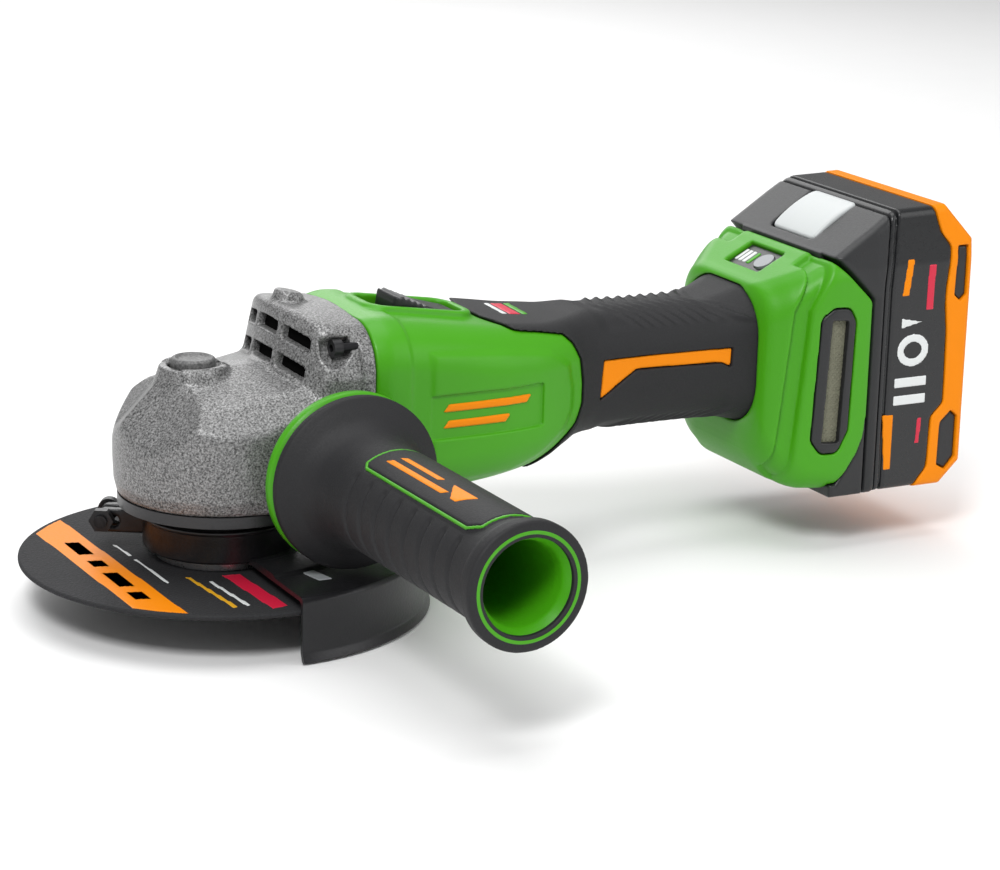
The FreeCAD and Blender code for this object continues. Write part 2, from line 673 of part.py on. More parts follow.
def housing():
    """The moulded housing from the gear case to the battery, split down its middle into two shells."""
    outer = new_body("housing_outer", CENTRE, "+X")
    loft(outer, "AdditiveLoft", housing_sections("0"))
    inner = new_body("housing_inner", CENTRE, "+X")
    stations = housing_sections("wall_thick")[:-1]
    front = ("case_back - 1",) + stations[0][1:]
    back = ("channel_front - wall_thick",) + stations[-1][1:]
    loft(inner, "AdditiveLoft", [front] + stations[1:-1] + [back])
    tools = [inner, switch_window(), battery_channel(), rear_wedge(), panel_seat(),
             bumper_corner("bumper_seat"), vent_window("left", "-1"), vent_window("right", "1")]
    for k, y in enumerate(("-8", "8")):
        tools.append(block(f"blade_slot_{k}", ("channel_front - 5", "channel_front + 1"),
                           (f"{y} - 0.6", f"{y} + 0.6"), ("31", "49")))
    form = cut("housing_form", outer, joined("housing_cuts", tools))
    ribs = cut("bracket_ring", block("bracket_support", ("88.5", "91.5"), ("-40", "40"), ("0", "110")),
               rod("bracket_bore", "bracket_radius", "5", ("87.5", "0", "motor_axis"), "+X"))
    walls = shared("bracket_ribs", [ribs, inner_copy()])
    solid = joined("housing_solid", [form, walls])
    halves(solid, "left_body_shell", "right_body_shell")


def inner_copy():
    """The inside of the housing round the rear bearing, slightly oversize so that its rib joins the wall."""
    body = new_body("rib_limit", CENTRE, "+X")
    loft(body, "AdditiveLoft", housing_sections("wall_thick - 0.6")[2:4])
    return body


def halves(solid, left_label, right_label):
    """Split a solid at the middle plane: -Y is left, +Y is right."""
    for label, low, high in ((left_label, "-100", "0"), (right_label, "0", "100")):
        space = block(f"{label}_space", ("-50", "320"), (low, high), ("-50", "150"))
        keep(shared(label, [solid, space]))


SWITCH_AT = ("65", "0", "80.9")


def switch_window():
    """The opening in the housing's top that the switch knob slides in."""
    return slab("switch_window", sheet_outline("-17", "15.6", "8.4"), "16", SWITCH_AT, "+Z",
                number("switch_tilt"), "-6")


def vent_window(label, side_sign):
    """The six-sided air window in one flank of the adapter."""
    low = "26" if side_sign == "1" else "-46"
    corners = [("203.5", "35"), ("199.5", "28.5"), ("195.8", "33"), ("198", "71"), ("202", "74.5"),
               ("203.2", "73")]
    return slab(f"vent_window_{label}", corners, "20", ("0", f"{low} + 20", "0"), "-Y")


def battery_channel():
    """The upright channel that the battery's foot slides in, open at the top, with lips at the rear."""
    lips = "adapter_back - 4"
    wide = block("channel_wide", ("channel_front", lips), ("-channel_half", "channel_half"),
                 ("channel_floor", "120"))
    narrow = block("channel_narrow", (f"{lips} - 1", "adapter_back + 2"), ("-lip_half", "lip_half"),
                   ("channel_floor", "120"))
    return joined("channel", [wide, narrow])


def rear_wedge():
    """The adapter's rear top corner, cut off where the battery leans over it."""
    return slab("rear_wedge", [("adapter_back + 1", "75.7"), ("channel_front - 0.5", "hump_foot - 0.6"),
                               ("channel_front - 0.5", "120"), ("adapter_back + 1", "120")],
                "90", ("0", "45", "0"), "-Y")


def bumper_corner(label):
    """The adapter's rear bottom corner across the whole width."""
    low = "battery_low + 0.2"
    corners = [("204.6", low), ("adapter_back", low), ("adapter_back", "36"), ("214.4", "25.3"),
               ("207", "15.2"), ("204.6", "15.2")]
    return slab(label, corners, "2 * battery_half", ("0", "battery_half", "0"), "-Y")


def base_bumper():
    """The black bumper on that corner, open at the rear where the battery channel ends."""
    keep(cut("base_bumper", bumper_corner("bumper_form"), bumper_channel()))


def bumper_channel():
    """The battery channel carried through the bumper."""
    return block("bumper_room", ("channel_front", "adapter_back + 2"), ("-channel_half", "channel_half"),
                 ("channel_floor", "60"))


PANEL_TILT = -28.0
PANEL_AT = ("194", "0", "86.2")


def panel_seat():
    """The recess for the indicator panel in the adapter's sloping top."""
    return slab("panel_seat", sheet_outline("-5.8", "5.8", "10.4"), "14", PANEL_AT, "+Z", PANEL_TILT, "-3.4")


def indicator():
    """The indicator panel with its press button."""
    outline = sheet_outline("-5.5", "5.5", "10.1")
    base = slab("indicator_panel", outline, "2.8", PANEL_AT, "+Z", PANEL_TILT, "-3.4")
    pocket(base, circles(base, [("0", "-5.2", "3.9")], "-2.6"), "3")
    keep(base)
    button = new_body("speed_button", PANEL_AT, "+Z", PANEL_TILT)
    pad(button, circles(button, [("0", "-5.2", "3.6")], "-1.4"), "1.6")
    keep(button)


def grip_rubber():
    """The rubber over the grip, as two halves with ribs across the top."""
    outer = new_body("rubber_outer", CENTRE, "+X")
    loft(outer, "AdditiveLoft", [
        ("grip_start + 0.1", "25", "34.4", "75.2", "13"), ("125", "21", "36", "76", "12"),
        ("150", "20", "35.9", "75.5", "12"), ("172", "20.4", "35.6", "76", "12"),
        ("grip_end - 1.1", "22", "34.4", "79", "12")])
    inner = new_body("rubber_inner", CENTRE, "+X")
    loft(inner, "AdditiveLoft", housing_sections("0")[5:10])
    halves(cut("rubber_form", outer, inner), "left_grip_rubber", "right_grip_rubber")


def vent_meshes():
    """A dust mesh behind each adapter window."""
    for label, low, high in (("left_vent_mesh", "-30.6", "-29.4"), ("right_vent_mesh", "29.4", "30.6")):
        keep(block(label, ("194.8", "channel_front - wall_thick - 0.2"), (low, high), ("27", "76")))


def switch_parts():
    """The slide knob, the slider under it, the switch module and the controller."""
    tilt = number("switch_tilt")
    knob = slab("knob_form", sheet_outline("-9.6", "15", "7.6"), "2.4", SWITCH_AT, "+Z", tilt, "-2")
    for k in range(4):
        ridge = outline(knob, sheet_outline(f"{-9.2 + 3.6 * k:.1f}", f"{-6.8 + 3.6 * k:.1f}", "7"), "0.4")
        pad(knob, ridge, f"{3.0 - 0.6 * k:.1f}")
    # The rocking axis crosses the slope under the knob: a pin on the slider in a groove of the knob.
    pin_at = (f"{SWITCH_AT[0]} - 2.3 * sin(switch_tilt)", "4", f"{SWITCH_AT[2]} - 2.3 * cos(switch_tilt)")
    groove = rod("knob_groove", "rock_radius + running_gap", "8.6", (pin_at[0], "4.3", pin_at[2]), "-Y")
    keep(cut("switch_knob", knob, groove))
    carrier = slab("slider_form", sheet_outline("-6", "8", "4"), "1.8", SWITCH_AT, "+Z", tilt, "-4.2")
    keep(joined("switch_slider", [carrier, rod("rock_pin", "rock_radius", "8", pin_at, "-Y")]))
    keep(block("switch_module", ("98", "112"), ("-8", "8"), ("56.5", "70.5")))
    keep(block("controller", ("118", "164"), ("-12.5", "12.5"), ("44", "66")))


def terminal_block():
    """The contact block on the channel's front wall, with two upright blades."""
    base = block("terminal_base", ("channel_front - wall_thick - 6", "channel_front - wall_thick"),
                 ("-14", "14"), ("28", "52"))
    blades = [block(f"terminal_blade_{k}", ("channel_front - wall_thick - 1", "channel_front + 6"),
                    (f"{y} - 0.4", f"{y} + 0.4"), ("32", "48")) for k, y in enumerate(("-8", "8"))]
    keep(joined("terminal_block", [base] + blades))


# ---------------------------------------------------------------- battery

def battery_profile(label, inset):
    """The battery's side profile across its full width: an upright pack with a nose over the adapter."""
    grow = f"battery_half - {inset}"
    return slab(label, [
        (f"battery_front + {inset}", f"battery_low + {inset}"),
        (f"battery_front + {inset}", "77.3"),
        (f"channel_front + 0.5 + {inset}", f"hump_foot + {inset} * 0.4"),
        (f"227 + {inset} * 0.3", f"battery_top - {inset}"),
        (f"247 - {inset} * 0.4", f"battery_top - {inset}"),
        (f"battery_back - {inset}", f"95 - {inset} * 0.4"),
        (f"battery_back - {inset}", "18"),
        (f"250 - {inset} * 0.4", f"battery_low + {inset}")], f"2 * ({grow})", ("0", grow, "0"), "-Y")


def battery():
    """The pack: a front shell with its rail foot, a rear shell, orange trim, cells and a contact board."""
    outer = battery_profile("battery_outer", "0")
    core = block("battery_core", ("battery_front + 0.6", "270"), ("-33.6", "33.6"), ("0", "102.4"))
    inner = shared("battery_inner", [battery_profile("battery_lining", "0.7"), core])
    attic = block("battery_attic", ("228", "245.5"), ("-31", "31"), ("102", "105.4"))
    hollow = joined("battery_hollow", [inner, attic])
    foot_wide = block("foot_wide", ("channel_front + slide_gap", "adapter_back - 4.4"),
                      ("-channel_half + slide_gap", "channel_half - slide_gap"),
                      ("channel_floor + slide_gap", "90"))
    foot_neck = block("foot_neck", ("adapter_back - 5", "battery_front + 0.6"),
                      ("-lip_half + slide_gap", "lip_half - slide_gap"), ("channel_floor + slide_gap", "90"))
    slots = [block(f"contact_slot_{k}", ("channel_front", "channel_front + 7"), (f"{y} - 1.2", f"{y} + 1.2"),
                   ("channel_floor", "50")) for k, y in enumerate(("-8", "8"))]
    room = slab("release_room", sheet_outline("-10.8", "10.8", "13.2"), "12", RELEASE_AT, "+Z", RELEASE_TILT,
                "-5.2")
    whole = joined("battery_whole", [cut("battery_shell", outer, hollow), foot_wide, foot_neck])
    form = cut("battery_form", whole, joined("battery_cuts", slots + [room]))
    for label, low, high in (("battery_front_shell", "190", "battery_seam"),
                             ("battery_rear_shell", "battery_seam", "trim_start"),
                             ("battery_trim", "trim_start", "270")):
        space = block(f"{label}_space", (low, high), ("-50", "50"), ("0", "130"))
        keep(shared(label, [form, space]))
    battery_cells()
    keep(block("battery_board", ("228.4", "245"), ("-30.5", "30.5"), ("102.8", "104.4")))
    release_button()


def battery_cells():
    """Two rows of five cells, lying across the pack."""
    cells = []
    for column, x in enumerate(("228.5", "246.5")):
        for row in range(5):
            height = f"battery_low + 10.1 + 18.1 * {row}"
            at = (x, "cell_length / 2", height)
            cells.append(rod(f"cell_{column}_{row}", "cell_radius - 0.05", "cell_length", at, "-Y"))
    group = doc.addObject("Part::Compound", "battery_cells")
    group.Label = "battery_cells"
    group.Links = cells
    keep(group)


RELEASE_TILT = -32.5
RELEASE_AT = ("216.5", "0", "99.9")


def release_button():
    """The release button on the battery's slope and the spring under it."""
    keep(slab("release_button", sheet_outline("-10.3", "10.3", "12.7"), "2.2", RELEASE_AT, "+Z", RELEASE_TILT,
              "-1.4"))
    spring = new_body("release_spring", RELEASE_AT, "+Z", RELEASE_TILT)
    pad(spring, circles(spring, [("-5", "0", "3.4"), ("-5", "0", "2.6")], "-5.1"), "3.6")
    keep(spring)


# ---------------------------------------------------------------- fasteners

def fasteners():
    """Four screws up through the bearing cover, and two that hold the motor housing to the case."""
    for k, at in enumerate(screw_places("cover_base + 0.2"), start=1):
        socket_screw(f"cover_screw_{k}", "3.5", "2", "2.2", "7.5", at)
    for k, side_sign in enumerate(("1", "-1"), start=1):
        at = ("25", f"{side_sign} * case_screw_y", "case_screw_z")
        socket_screw(f"case_screw_{k}", "2.8", "1.5", "3", "9.5", at, "+X")


def build():
    cutting_disc()
    clamp_nut()
    inner_flange()
    spindle()
    crown_gear()
    pinion()
    spindle_bearings()
    bearing_cover()
    gear_case()
    guard()
    spindle_lock()
    side_handle()
    motor()
    housing()
    grip_rubber()
    base_bumper()
    indicator()
    vent_meshes()
    switch_parts()
    terminal_block()
    battery()
    fasteners()


def export():
    doc.recompute()
    for item in doc.Objects:
        if "Invalid" in item.State or "Error" in item.State:
            raise RuntimeError(f"{item.Label} failed: {item.State}")
    os.makedirs("parts", exist_ok=True)
    for piece in nodes:
        shape = piece.Shape
        if shape.isNull() or not shape.isValid() or shape.Volume <= 0:
            raise RuntimeError(f"{piece.Label} has no valid solid")
        shape.exportStep(f"parts/{piece.Label}.step")
        print(piece.Label, len(shape.Solids), round(shape.Volume), shape.BoundBox)


build()
export()
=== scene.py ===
"""Visual model of the cordless angle grinder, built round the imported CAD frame, in millimetres."""

import math

import bpy
import numpy as np
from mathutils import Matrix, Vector


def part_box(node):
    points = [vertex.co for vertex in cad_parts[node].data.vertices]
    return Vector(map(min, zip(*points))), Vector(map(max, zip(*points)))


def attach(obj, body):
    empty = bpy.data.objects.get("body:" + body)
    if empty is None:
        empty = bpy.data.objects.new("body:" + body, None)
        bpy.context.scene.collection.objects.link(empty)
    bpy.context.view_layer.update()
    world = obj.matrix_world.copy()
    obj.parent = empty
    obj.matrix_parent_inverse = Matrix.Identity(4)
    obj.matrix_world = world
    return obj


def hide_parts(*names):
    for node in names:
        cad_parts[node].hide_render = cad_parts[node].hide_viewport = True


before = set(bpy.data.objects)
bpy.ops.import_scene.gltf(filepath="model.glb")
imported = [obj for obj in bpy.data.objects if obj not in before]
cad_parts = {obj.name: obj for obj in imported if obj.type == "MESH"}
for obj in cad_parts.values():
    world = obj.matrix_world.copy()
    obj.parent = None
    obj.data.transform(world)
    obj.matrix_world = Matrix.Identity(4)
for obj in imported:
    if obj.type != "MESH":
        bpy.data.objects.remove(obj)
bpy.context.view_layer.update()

MM = 0.001
# Grid steps of the meshed pieces: most of them, and the smallest details.
FINE = 0.5
SMALL = 0.4
# Segments round a small turned piece, the guard, the handle and the disc.
TURNS_SMALL, TURNS_GUARD, TURNS_HANDLE, TURNS_DISC = 64, 96, 112, 160


def cad_box(node_name):
    """The lowest and highest corners of a CAD node, in millimetres to a tenth."""
    return [tuple(round(value / MM, 1) for value in corner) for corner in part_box(node_name)]


def cad_middle(node_name):
    """The middle of a CAD node's box, in millimetres."""
    low, high = cad_box(node_name)
    return tuple(round((a + b) / 2, 1) for a, b in zip(low, high))


# ---------------------------------------------------------------- signed distance fields

def low_of(a, b, radius):
    """Union of two fields with a fillet."""
    share = np.clip(0.5 + 0.5 * (b - a) / radius, 0, 1)
    return b + (a - b) * share - radius * share * (1 - share)


def high_of(a, b, radius):
    """Intersection of two fields with a rounded edge."""
    return -low_of(-a, -b, radius)


def cut_from(a, b, radius):
    """Field a with field b taken away, its edge rounded."""
    return high_of(a, -b, radius)


def rounded_rect(u, v, half_u, half_v, corner):
    """Distance from a rectangle about the origin, its corners rounded."""
    over_u = np.abs(u) - (half_u - corner)
    over_v = np.abs(v) - (half_v - corner)
    outside = np.hypot(np.maximum(over_u, 0), np.maximum(over_v, 0))
    return outside + np.minimum(np.maximum(over_u, over_v), 0) - corner


def band(u, low, high):
    """Distance outside the slab from low to high."""
    return np.abs(u - (low + high) / 2) - (high - low) / 2


def plane(u, v, start, end):
    """Distance from the line start-end, positive on its left."""
    du, dv = end[0] - start[0], end[1] - start[1]
    return (-(u - start[0]) * dv + (v - start[1]) * du) / math.hypot(du, dv)


def ramp(value, length):
    """0 below zero, 1 beyond the length, and straight between."""
    return np.clip(value / length, 0, 1)


def polygon(u, v, points):
    """Signed distance to a closed outline, negative inside."""
    best = None
    crossings = None
    for (u0, v0), (u1, v1) in zip(points, points[1:] + points[:1]):
        du, dv = u1 - u0, v1 - v0
        share = np.clip(((u - u0) * du + (v - v0) * dv) / (du * du + dv * dv), 0, 1)
        gap = np.hypot(u - u0 - du * share, v - v0 - dv * share)
        best = gap if best is None else np.minimum(best, gap)
        spans = (v0 > v) != (v1 > v)
        left = u < u0 + (v - v0) * du / (dv if dv else 1e-9)
        crosses = spans & left
        crossings = crosses if crossings is None else crossings ^ crosses
    return np.where(crossings, -best, best)


def curve(x, stations):
    """A smooth curve through (x, value) stations, without overshoot."""
    at = np.array([s[0] for s in stations], float)
    value = np.array([s[1] for s in stations], float)
    width = np.diff(at)
    slope = np.diff(value) / width
    turn = np.zeros(len(at))
    turn[0], turn[-1] = slope[0], slope[-1]
    same = slope[:-1] * slope[1:] > 0
    mean = 2 * slope[:-1] * slope[1:] / np.where(same, slope[:-1] + slope[1:], 1)
    turn[1:-1] = np.where(same, mean, 0)
    place = np.clip(x, at[0], at[-1])
    k = np.clip(np.searchsorted(at, place, side="right") - 1, 0, len(width) - 1)
    t = (place - at[k]) / width[k]
    w = width[k]
    return ((2 * t**3 - 3 * t**2 + 1) * value[k] + (t**3 - 2 * t**2 + t) * w * turn[k]
            + (3 * t**2 - 2 * t**3) * value[k + 1] + (t**3 - t**2) * w * turn[k + 1])


# ---------------------------------------------------------------- meshes

CORNERS = [(i, j, k) for i in (0, 1) for j in (0, 1) for k in (0, 1)]
CELL_EDGES = [(a, b) for a in range(8) for b in range(a + 1, 8)
              if sum(abs(p - q) for p, q in zip(CORNERS[a], CORNERS[b])) == 1]


def surface(name, field, low, high, step):
    """A mesh piece round the inside of a field: one vertex per mixed cell, one quad per crossed edge."""
    axes = [np.arange(a - 1.5 * step, b + 2.5 * step, step) for a, b in zip(low, high)]
    x, y, z = axes[0][:, None, None], axes[1][None, :, None], axes[2][None, None, :]
    value = np.broadcast_to(field(x, y, z), [len(a) for a in axes]).astype(np.float32)
    inside = value < 0
    count = sum(inside[i:inside.shape[0] - 1 + i, j:inside.shape[1] - 1 + j, k:inside.shape[2] - 1 + k]
                .astype(np.int8) for i, j, k in CORNERS)
    cells = np.argwhere((count > 0) & (count < 8))
    ids = -np.ones(count.shape, np.int64)
    ids[tuple(cells.T)] = np.arange(len(cells))
    corner_value = [value[tuple((cells + c).T)].astype(float) for c in CORNERS]
    total = np.zeros((len(cells), 3))
    crossed = np.zeros(len(cells))
    for a, b in CELL_EDGES:
        mixed = (corner_value[a] < 0) != (corner_value[b] < 0)
        share = np.where(mixed, corner_value[a] / np.where(mixed, corner_value[a] - corner_value[b], 1), 0)
        point = np.array(CORNERS[a]) + share[:, None] * (np.array(CORNERS[b]) - np.array(CORNERS[a]))
        total += np.where(mixed[:, None], point, 0)
        crossed += mixed
    places = (cells + total / crossed[:, None]) * step + np.array([a[0] for a in axes])
    quads = []
    for axis in range(3):
        u, v = (axis + 1) % 3, (axis + 2) % 3
        first = np.take(inside, range(inside.shape[axis] - 1), axis)
        second = np.take(inside, range(1, inside.shape[axis]), axis)
        edges = np.argwhere(first != second)
        edges = edges[(edges[:, u] > 0) & (edges[:, v] > 0)
                      & (edges[:, u] < inside.shape[u] - 1) & (edges[:, v] < inside.shape[v] - 1)]
        solid_first = first[tuple(edges.T)]
        loop = []
        for du, dv in ((1, 1), (0, 1), (0, 0), (1, 0)):
            back = edges.copy()
            back[:, u] -= du
            back[:, v] -= dv
            loop.append(ids[tuple(back.T)])
        loop = np.stack(loop, 1)
        quads.append(np.where(solid_first[:, None], loop, loop[:, ::-1]))
    return mesh_piece(name, places, np.concatenate(quads))


def mesh_piece(name, places, faces):
    """A smooth-shaded object from millimetre vertices."""
    mesh = bpy.data.meshes.new(name)
    mesh.from_pydata((np.asarray(places, float) * MM).tolist(), [], [list(face) for face in faces])
    mesh.validate()
    mesh.polygons.foreach_set("use_smooth", [True] * len(mesh.polygons))
    piece = bpy.data.objects.new(name, mesh)
    bpy.context.scene.collection.objects.link(piece)
    return piece


def sharpen(piece, degrees=32):
    """Shade sharply across edges steeper than an angle."""
    bpy.context.view_layer.objects.active = piece
    piece.select_set(True)
    bpy.ops.object.shade_smooth_by_angle(angle=math.radians(degrees), keep_sharp_edges=True)
    piece.select_set(False)


def settle(piece, material, body, replaced=()):
    """Give a piece its material, the body it rides on, and the CAD nodes it stands for."""
    piece.data.materials.clear()
    piece.data.materials.append(material)
    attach(piece, body)
    if replaced:
        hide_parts(*replaced)


def turned(name, profile, centre, along, steps=96, start=0.0, sweep=360.0):
    """A profile of (radius, distance) turned about an axis through the centre."""
    along = Vector(along).normalized()
    side = along.orthogonal().normalized() if abs(along.z) < 0.9 else Vector((1, 0, 0))
    other = along.cross(side)
    whole = sweep >= 360
    turns = steps if whole else steps + 1
    places = []
    for k in range(turns):
        angle = math.radians(start + sweep * k / steps)
        out = side * math.cos(angle) + other * math.sin(angle)
        places += [Vector(centre) + out * radius + along * distance for radius, distance in profile]
    size = len(profile)
    faces = []
    for k in range(steps):
        a, b = k * size, ((k + 1) % turns) * size
        faces += [(a + i, b + i, b + (i + 1) % size, a + (i + 1) % size) for i in range(size)]
    if not whole:
        faces += [tuple(reversed(range(size))), tuple(range((turns - 1) * size, turns * size))]
    return mesh_piece(name, places, faces)


def rounded_profile(points, radius, steps=4):
    """The closed profile with each corner turned into an arc of small segments."""
    result = []
    count = len(points)
    for k, point in enumerate(points):
        here = Vector(point)
        before, after = Vector(points[k - 1]) - here, Vector(points[(k + 1) % count]) - here
        reach = min(radius, before.length * 0.45, after.length * 0.45)
        a, b = here + before.normalized() * reach, here + after.normalized() * reach
        for s in range(steps + 1):
            t = s / steps
            result.append(tuple(a * (1 - t) ** 2 + here * 2 * t * (1 - t) + b * t**2))
    return result


# ---------------------------------------------------------------- materials

def node(tree, kind, inputs=None, **settings):
    """A new shader node, with its inputs linked to sockets or set to values."""
    item = tree.nodes.new(kind)
    for key, value in settings.items():
        setattr(item, key, value)
    for key, value in (inputs or {}).items():
        if isinstance(value, bpy.types.NodeSocket):
            tree.links.new(value, item.inputs[key])
        else:
            item.inputs[key].default_value = value
    return item


def shade(colour, factor):
    """A colour made lighter or darker."""
    return tuple(min(1.0, c * factor) for c in colour[:3]) + (1.0,)


def linear(hex_code):
    """A colour from a web code."""
    parts = [int(hex_code[k:k + 2], 16) / 255 for k in (0, 2, 4)]
    return tuple(p / 12.92 if p <= 0.04045 else ((p + 0.055) / 1.055) ** 2.4 for p in parts) + (1.0,)


def finish(name, colour, rough=0.45, metal=0.0, grain=1.5, bump=0.12, mottle=0.1, wear=0.25, speckle_and_glint=None,
           specular=0.5):
    """A material with colour variation, surface grain in its bump and roughness, and paler worn edges.

    grain is the size of the surface grain in mm, mottle how far the colour varies, wear how far edges pale,
    and the second colour, where given, is the paler speckle of a hammered paint, partly its own pattern and
    partly painted glints."""
    material = bpy.data.materials.new(name)
    material.use_nodes = True
    tree = material.node_tree
    shader = tree.nodes["Principled BSDF"]
    shader.inputs["Metallic"].default_value = metal
    shader.inputs["Specular IOR Level"].default_value = specular
    where = node(tree, "ShaderNodeTexCoord").outputs["Object"]
    broad = node(tree, "ShaderNodeTexNoise", {"Vector": where, "Scale": 38.0, "Detail": 4.0}).outputs["Fac"]
    fine = node(tree, "ShaderNodeTexNoise", {"Vector": where, "Scale": 1000.0 / grain, "Detail": 2.0,
                                             "Roughness": 0.6}).outputs["Fac"]
    base = node(tree, "ShaderNodeMix", {"Factor": broad, "A": shade(colour, 1 - mottle),
                                        "B": shade(colour, 1 + mottle)}, data_type="RGBA").outputs["Result"]
    # The paler speckle is partly the hammered paint's own pattern and partly painted glints.
    if speckle_and_glint is not None:
        speck = node(tree, "ShaderNodeValToRGB", {"Fac": fine})
        speck.color_ramp.elements[0].position = 0.34
        speck.color_ramp.elements[1].position = 0.70
        base = node(tree, "ShaderNodeMix", {"Factor": speck.outputs["Color"], "A": base, "B": speckle_and_glint},
                    data_type="RGBA").outputs["Result"]
    edge = node(tree, "ShaderNodeNewGeometry").outputs["Pointiness"]
    worn = node(tree, "ShaderNodeMapRange", {"Value": edge, "From Min": 0.52, "From Max": 0.60,
                                             "To Min": 0.0, "To Max": wear}).outputs["Result"]
    pale = shade(tuple(c * 1.25 + 0.03 for c in colour[:3]), 1.0)
    base = node(tree, "ShaderNodeMix", {"Factor": worn, "A": base, "B": pale},
                data_type="RGBA").outputs["Result"]
    tree.links.new(base, shader.inputs["Base Color"])
    roughness = node(tree, "ShaderNodeMapRange", {"Value": fine, "To Min": max(0.05, rough - 0.09),
                                                  "To Max": min(1.0, rough + 0.09)}).outputs["Result"]
    tree.links.new(roughness, shader.inputs["Roughness"])
    relief = node(tree, "ShaderNodeBump", {"Height": fine, "Strength": bump, "Distance": 0.0004})
    tree.links.new(relief.outputs["Normal"], shader.inputs["Normal"])
    return material


GREEN = finish("moulded_green", linear("42970F"), 0.38, grain=0.7, bump=0.08, mottle=0.05, wear=0.2,
               specular=0.3)
RUBBER = finish("grip_rubber", linear("1D1D1F"), 0.62, grain=0.6, bump=0.25, mottle=0.12, wear=0.2,
                specular=0.35)
BLACK = finish("moulded_black", linear("1A1B1D"), 0.42, grain=0.7, bump=0.12, mottle=0.1, wear=0.3)
PANEL_BLACK = finish("smooth_black", linear("17181A"), 0.3, grain=1.2, bump=0.04, mottle=0.08, wear=0.2)
ORANGE = finish("moulded_orange", linear("E88400"), 0.45, grain=0.8, bump=0.08, mottle=0.05, wear=0.05,
                specular=0.15)
# Hammered paint: its pale speckle is partly the paint's own pattern and partly painted glints.
HAMMERED = finish("hammered_grey", linear("3E3E3E"), 0.36, 0.3, grain=0.6, bump=0.35, mottle=0.08, wear=0.3,
                  speckle_and_glint=linear("A0A0A0"))
# The same hammered speckle, partly the paint's own pattern and partly painted glints.
CAST_BUTTON = finish("cast_button", linear("4C4C4C"), 0.5, 0.2, grain=0.8, bump=0.3, speckle_and_glint=linear("7C7C7C"))
BLACK_STEEL = finish("powder_coated_steel", linear("202022"), 0.34, 0.3, grain=0.8, bump=0.15, wear=0.5)
ZINC = finish("zinc_plated_steel", linear("A8A9AB"), 0.3, 0.9, grain=0.9, bump=0.1, mottle=0.12)
DARK_STEEL = finish("blackened_steel", linear("1D1D1F"), 0.38, 0.7, grain=0.9, bump=0.12, wear=0.6)
PALE = finish("pale_plastic", linear("BCC0C0"), 0.35, grain=0.8, bump=0.05, mottle=0.03)
WHITE_PRINT = finish("white_print", linear("D6D9D9"), 0.45, grain=0.5, bump=0.04, mottle=0.03)
RED_PRINT = finish("red_print", linear("C8173A"), 0.45, grain=0.5, bump=0.04, mottle=0.05)
GREY_PRINT = finish("grey_print", linear("8E9194"), 0.45, grain=0.5, bump=0.04, mottle=0.05)
MESH_GREY = finish("dust_mesh", linear("6E6E5C"), 0.7, grain=0.9, bump=0.9, mottle=0.3)
COPPER = finish("enamelled_copper", linear("9A4A20"), 0.4, 0.8, grain=0.6, bump=0.4, mottle=0.3)
CELL = finish("cell_sleeve", linear("2F7F66"), 0.35, grain=1.0, bump=0.05)
BOARD = finish("circuit_board", linear("145A2A"), 0.4, grain=0.8, bump=0.2, mottle=0.25)
# Painted shade: near-black and without sheen, for the darkness seen down the blind air slots.
SLOT_SHADE = finish("painted_slot_shade", linear("050505"), 0.9, grain=2.0, bump=0.3, wear=0.0, specular=0.05)
YELLOW_PRINT = finish("yellow_print", linear("D8A01C"), 0.45, grain=0.5, bump=0.04, mottle=0.05)
ABRASIVE = finish("abrasive_disc_face", linear("262628"), 0.75, grain=0.9, bump=0.9, mottle=0.35, wear=0.0,
                  specular=0.3)


# ---------------------------------------------------------------- gear case

HANDLE_X, _, HANDLE_Z = cad_middle("handle_core")
LOCK_X = cad_middle("spindle_lock_button")[0]
SCREW_Y, SCREW_Z = cad_middle("case_screw_1")[1:]
# The gear case's rear face, the underside of its nose, and the top of the lock button's seat.
CASE_END, NOSE_LOW, LOCK_SEAT = 37.9, 28.6, 69.8
SIDE_HALF = 32.2
BOSS_RADIUS = 13
# The vent block's air slots: the height of each row, and the middle and half width of each column.
SLOT_ROWS = (71.5, 80.2)
SLOT_COLUMNS = ((0, 7.0), (-15.9, 6.4), (15.9, 6.4))


def block_lean(x, y, z):
    """Distance behind the vent block's front, which leans back and wraps round to the sides."""
    return 0.976 * (x - 13.4) - 0.215 * (z - 71.5) - 0.0098 * y**2


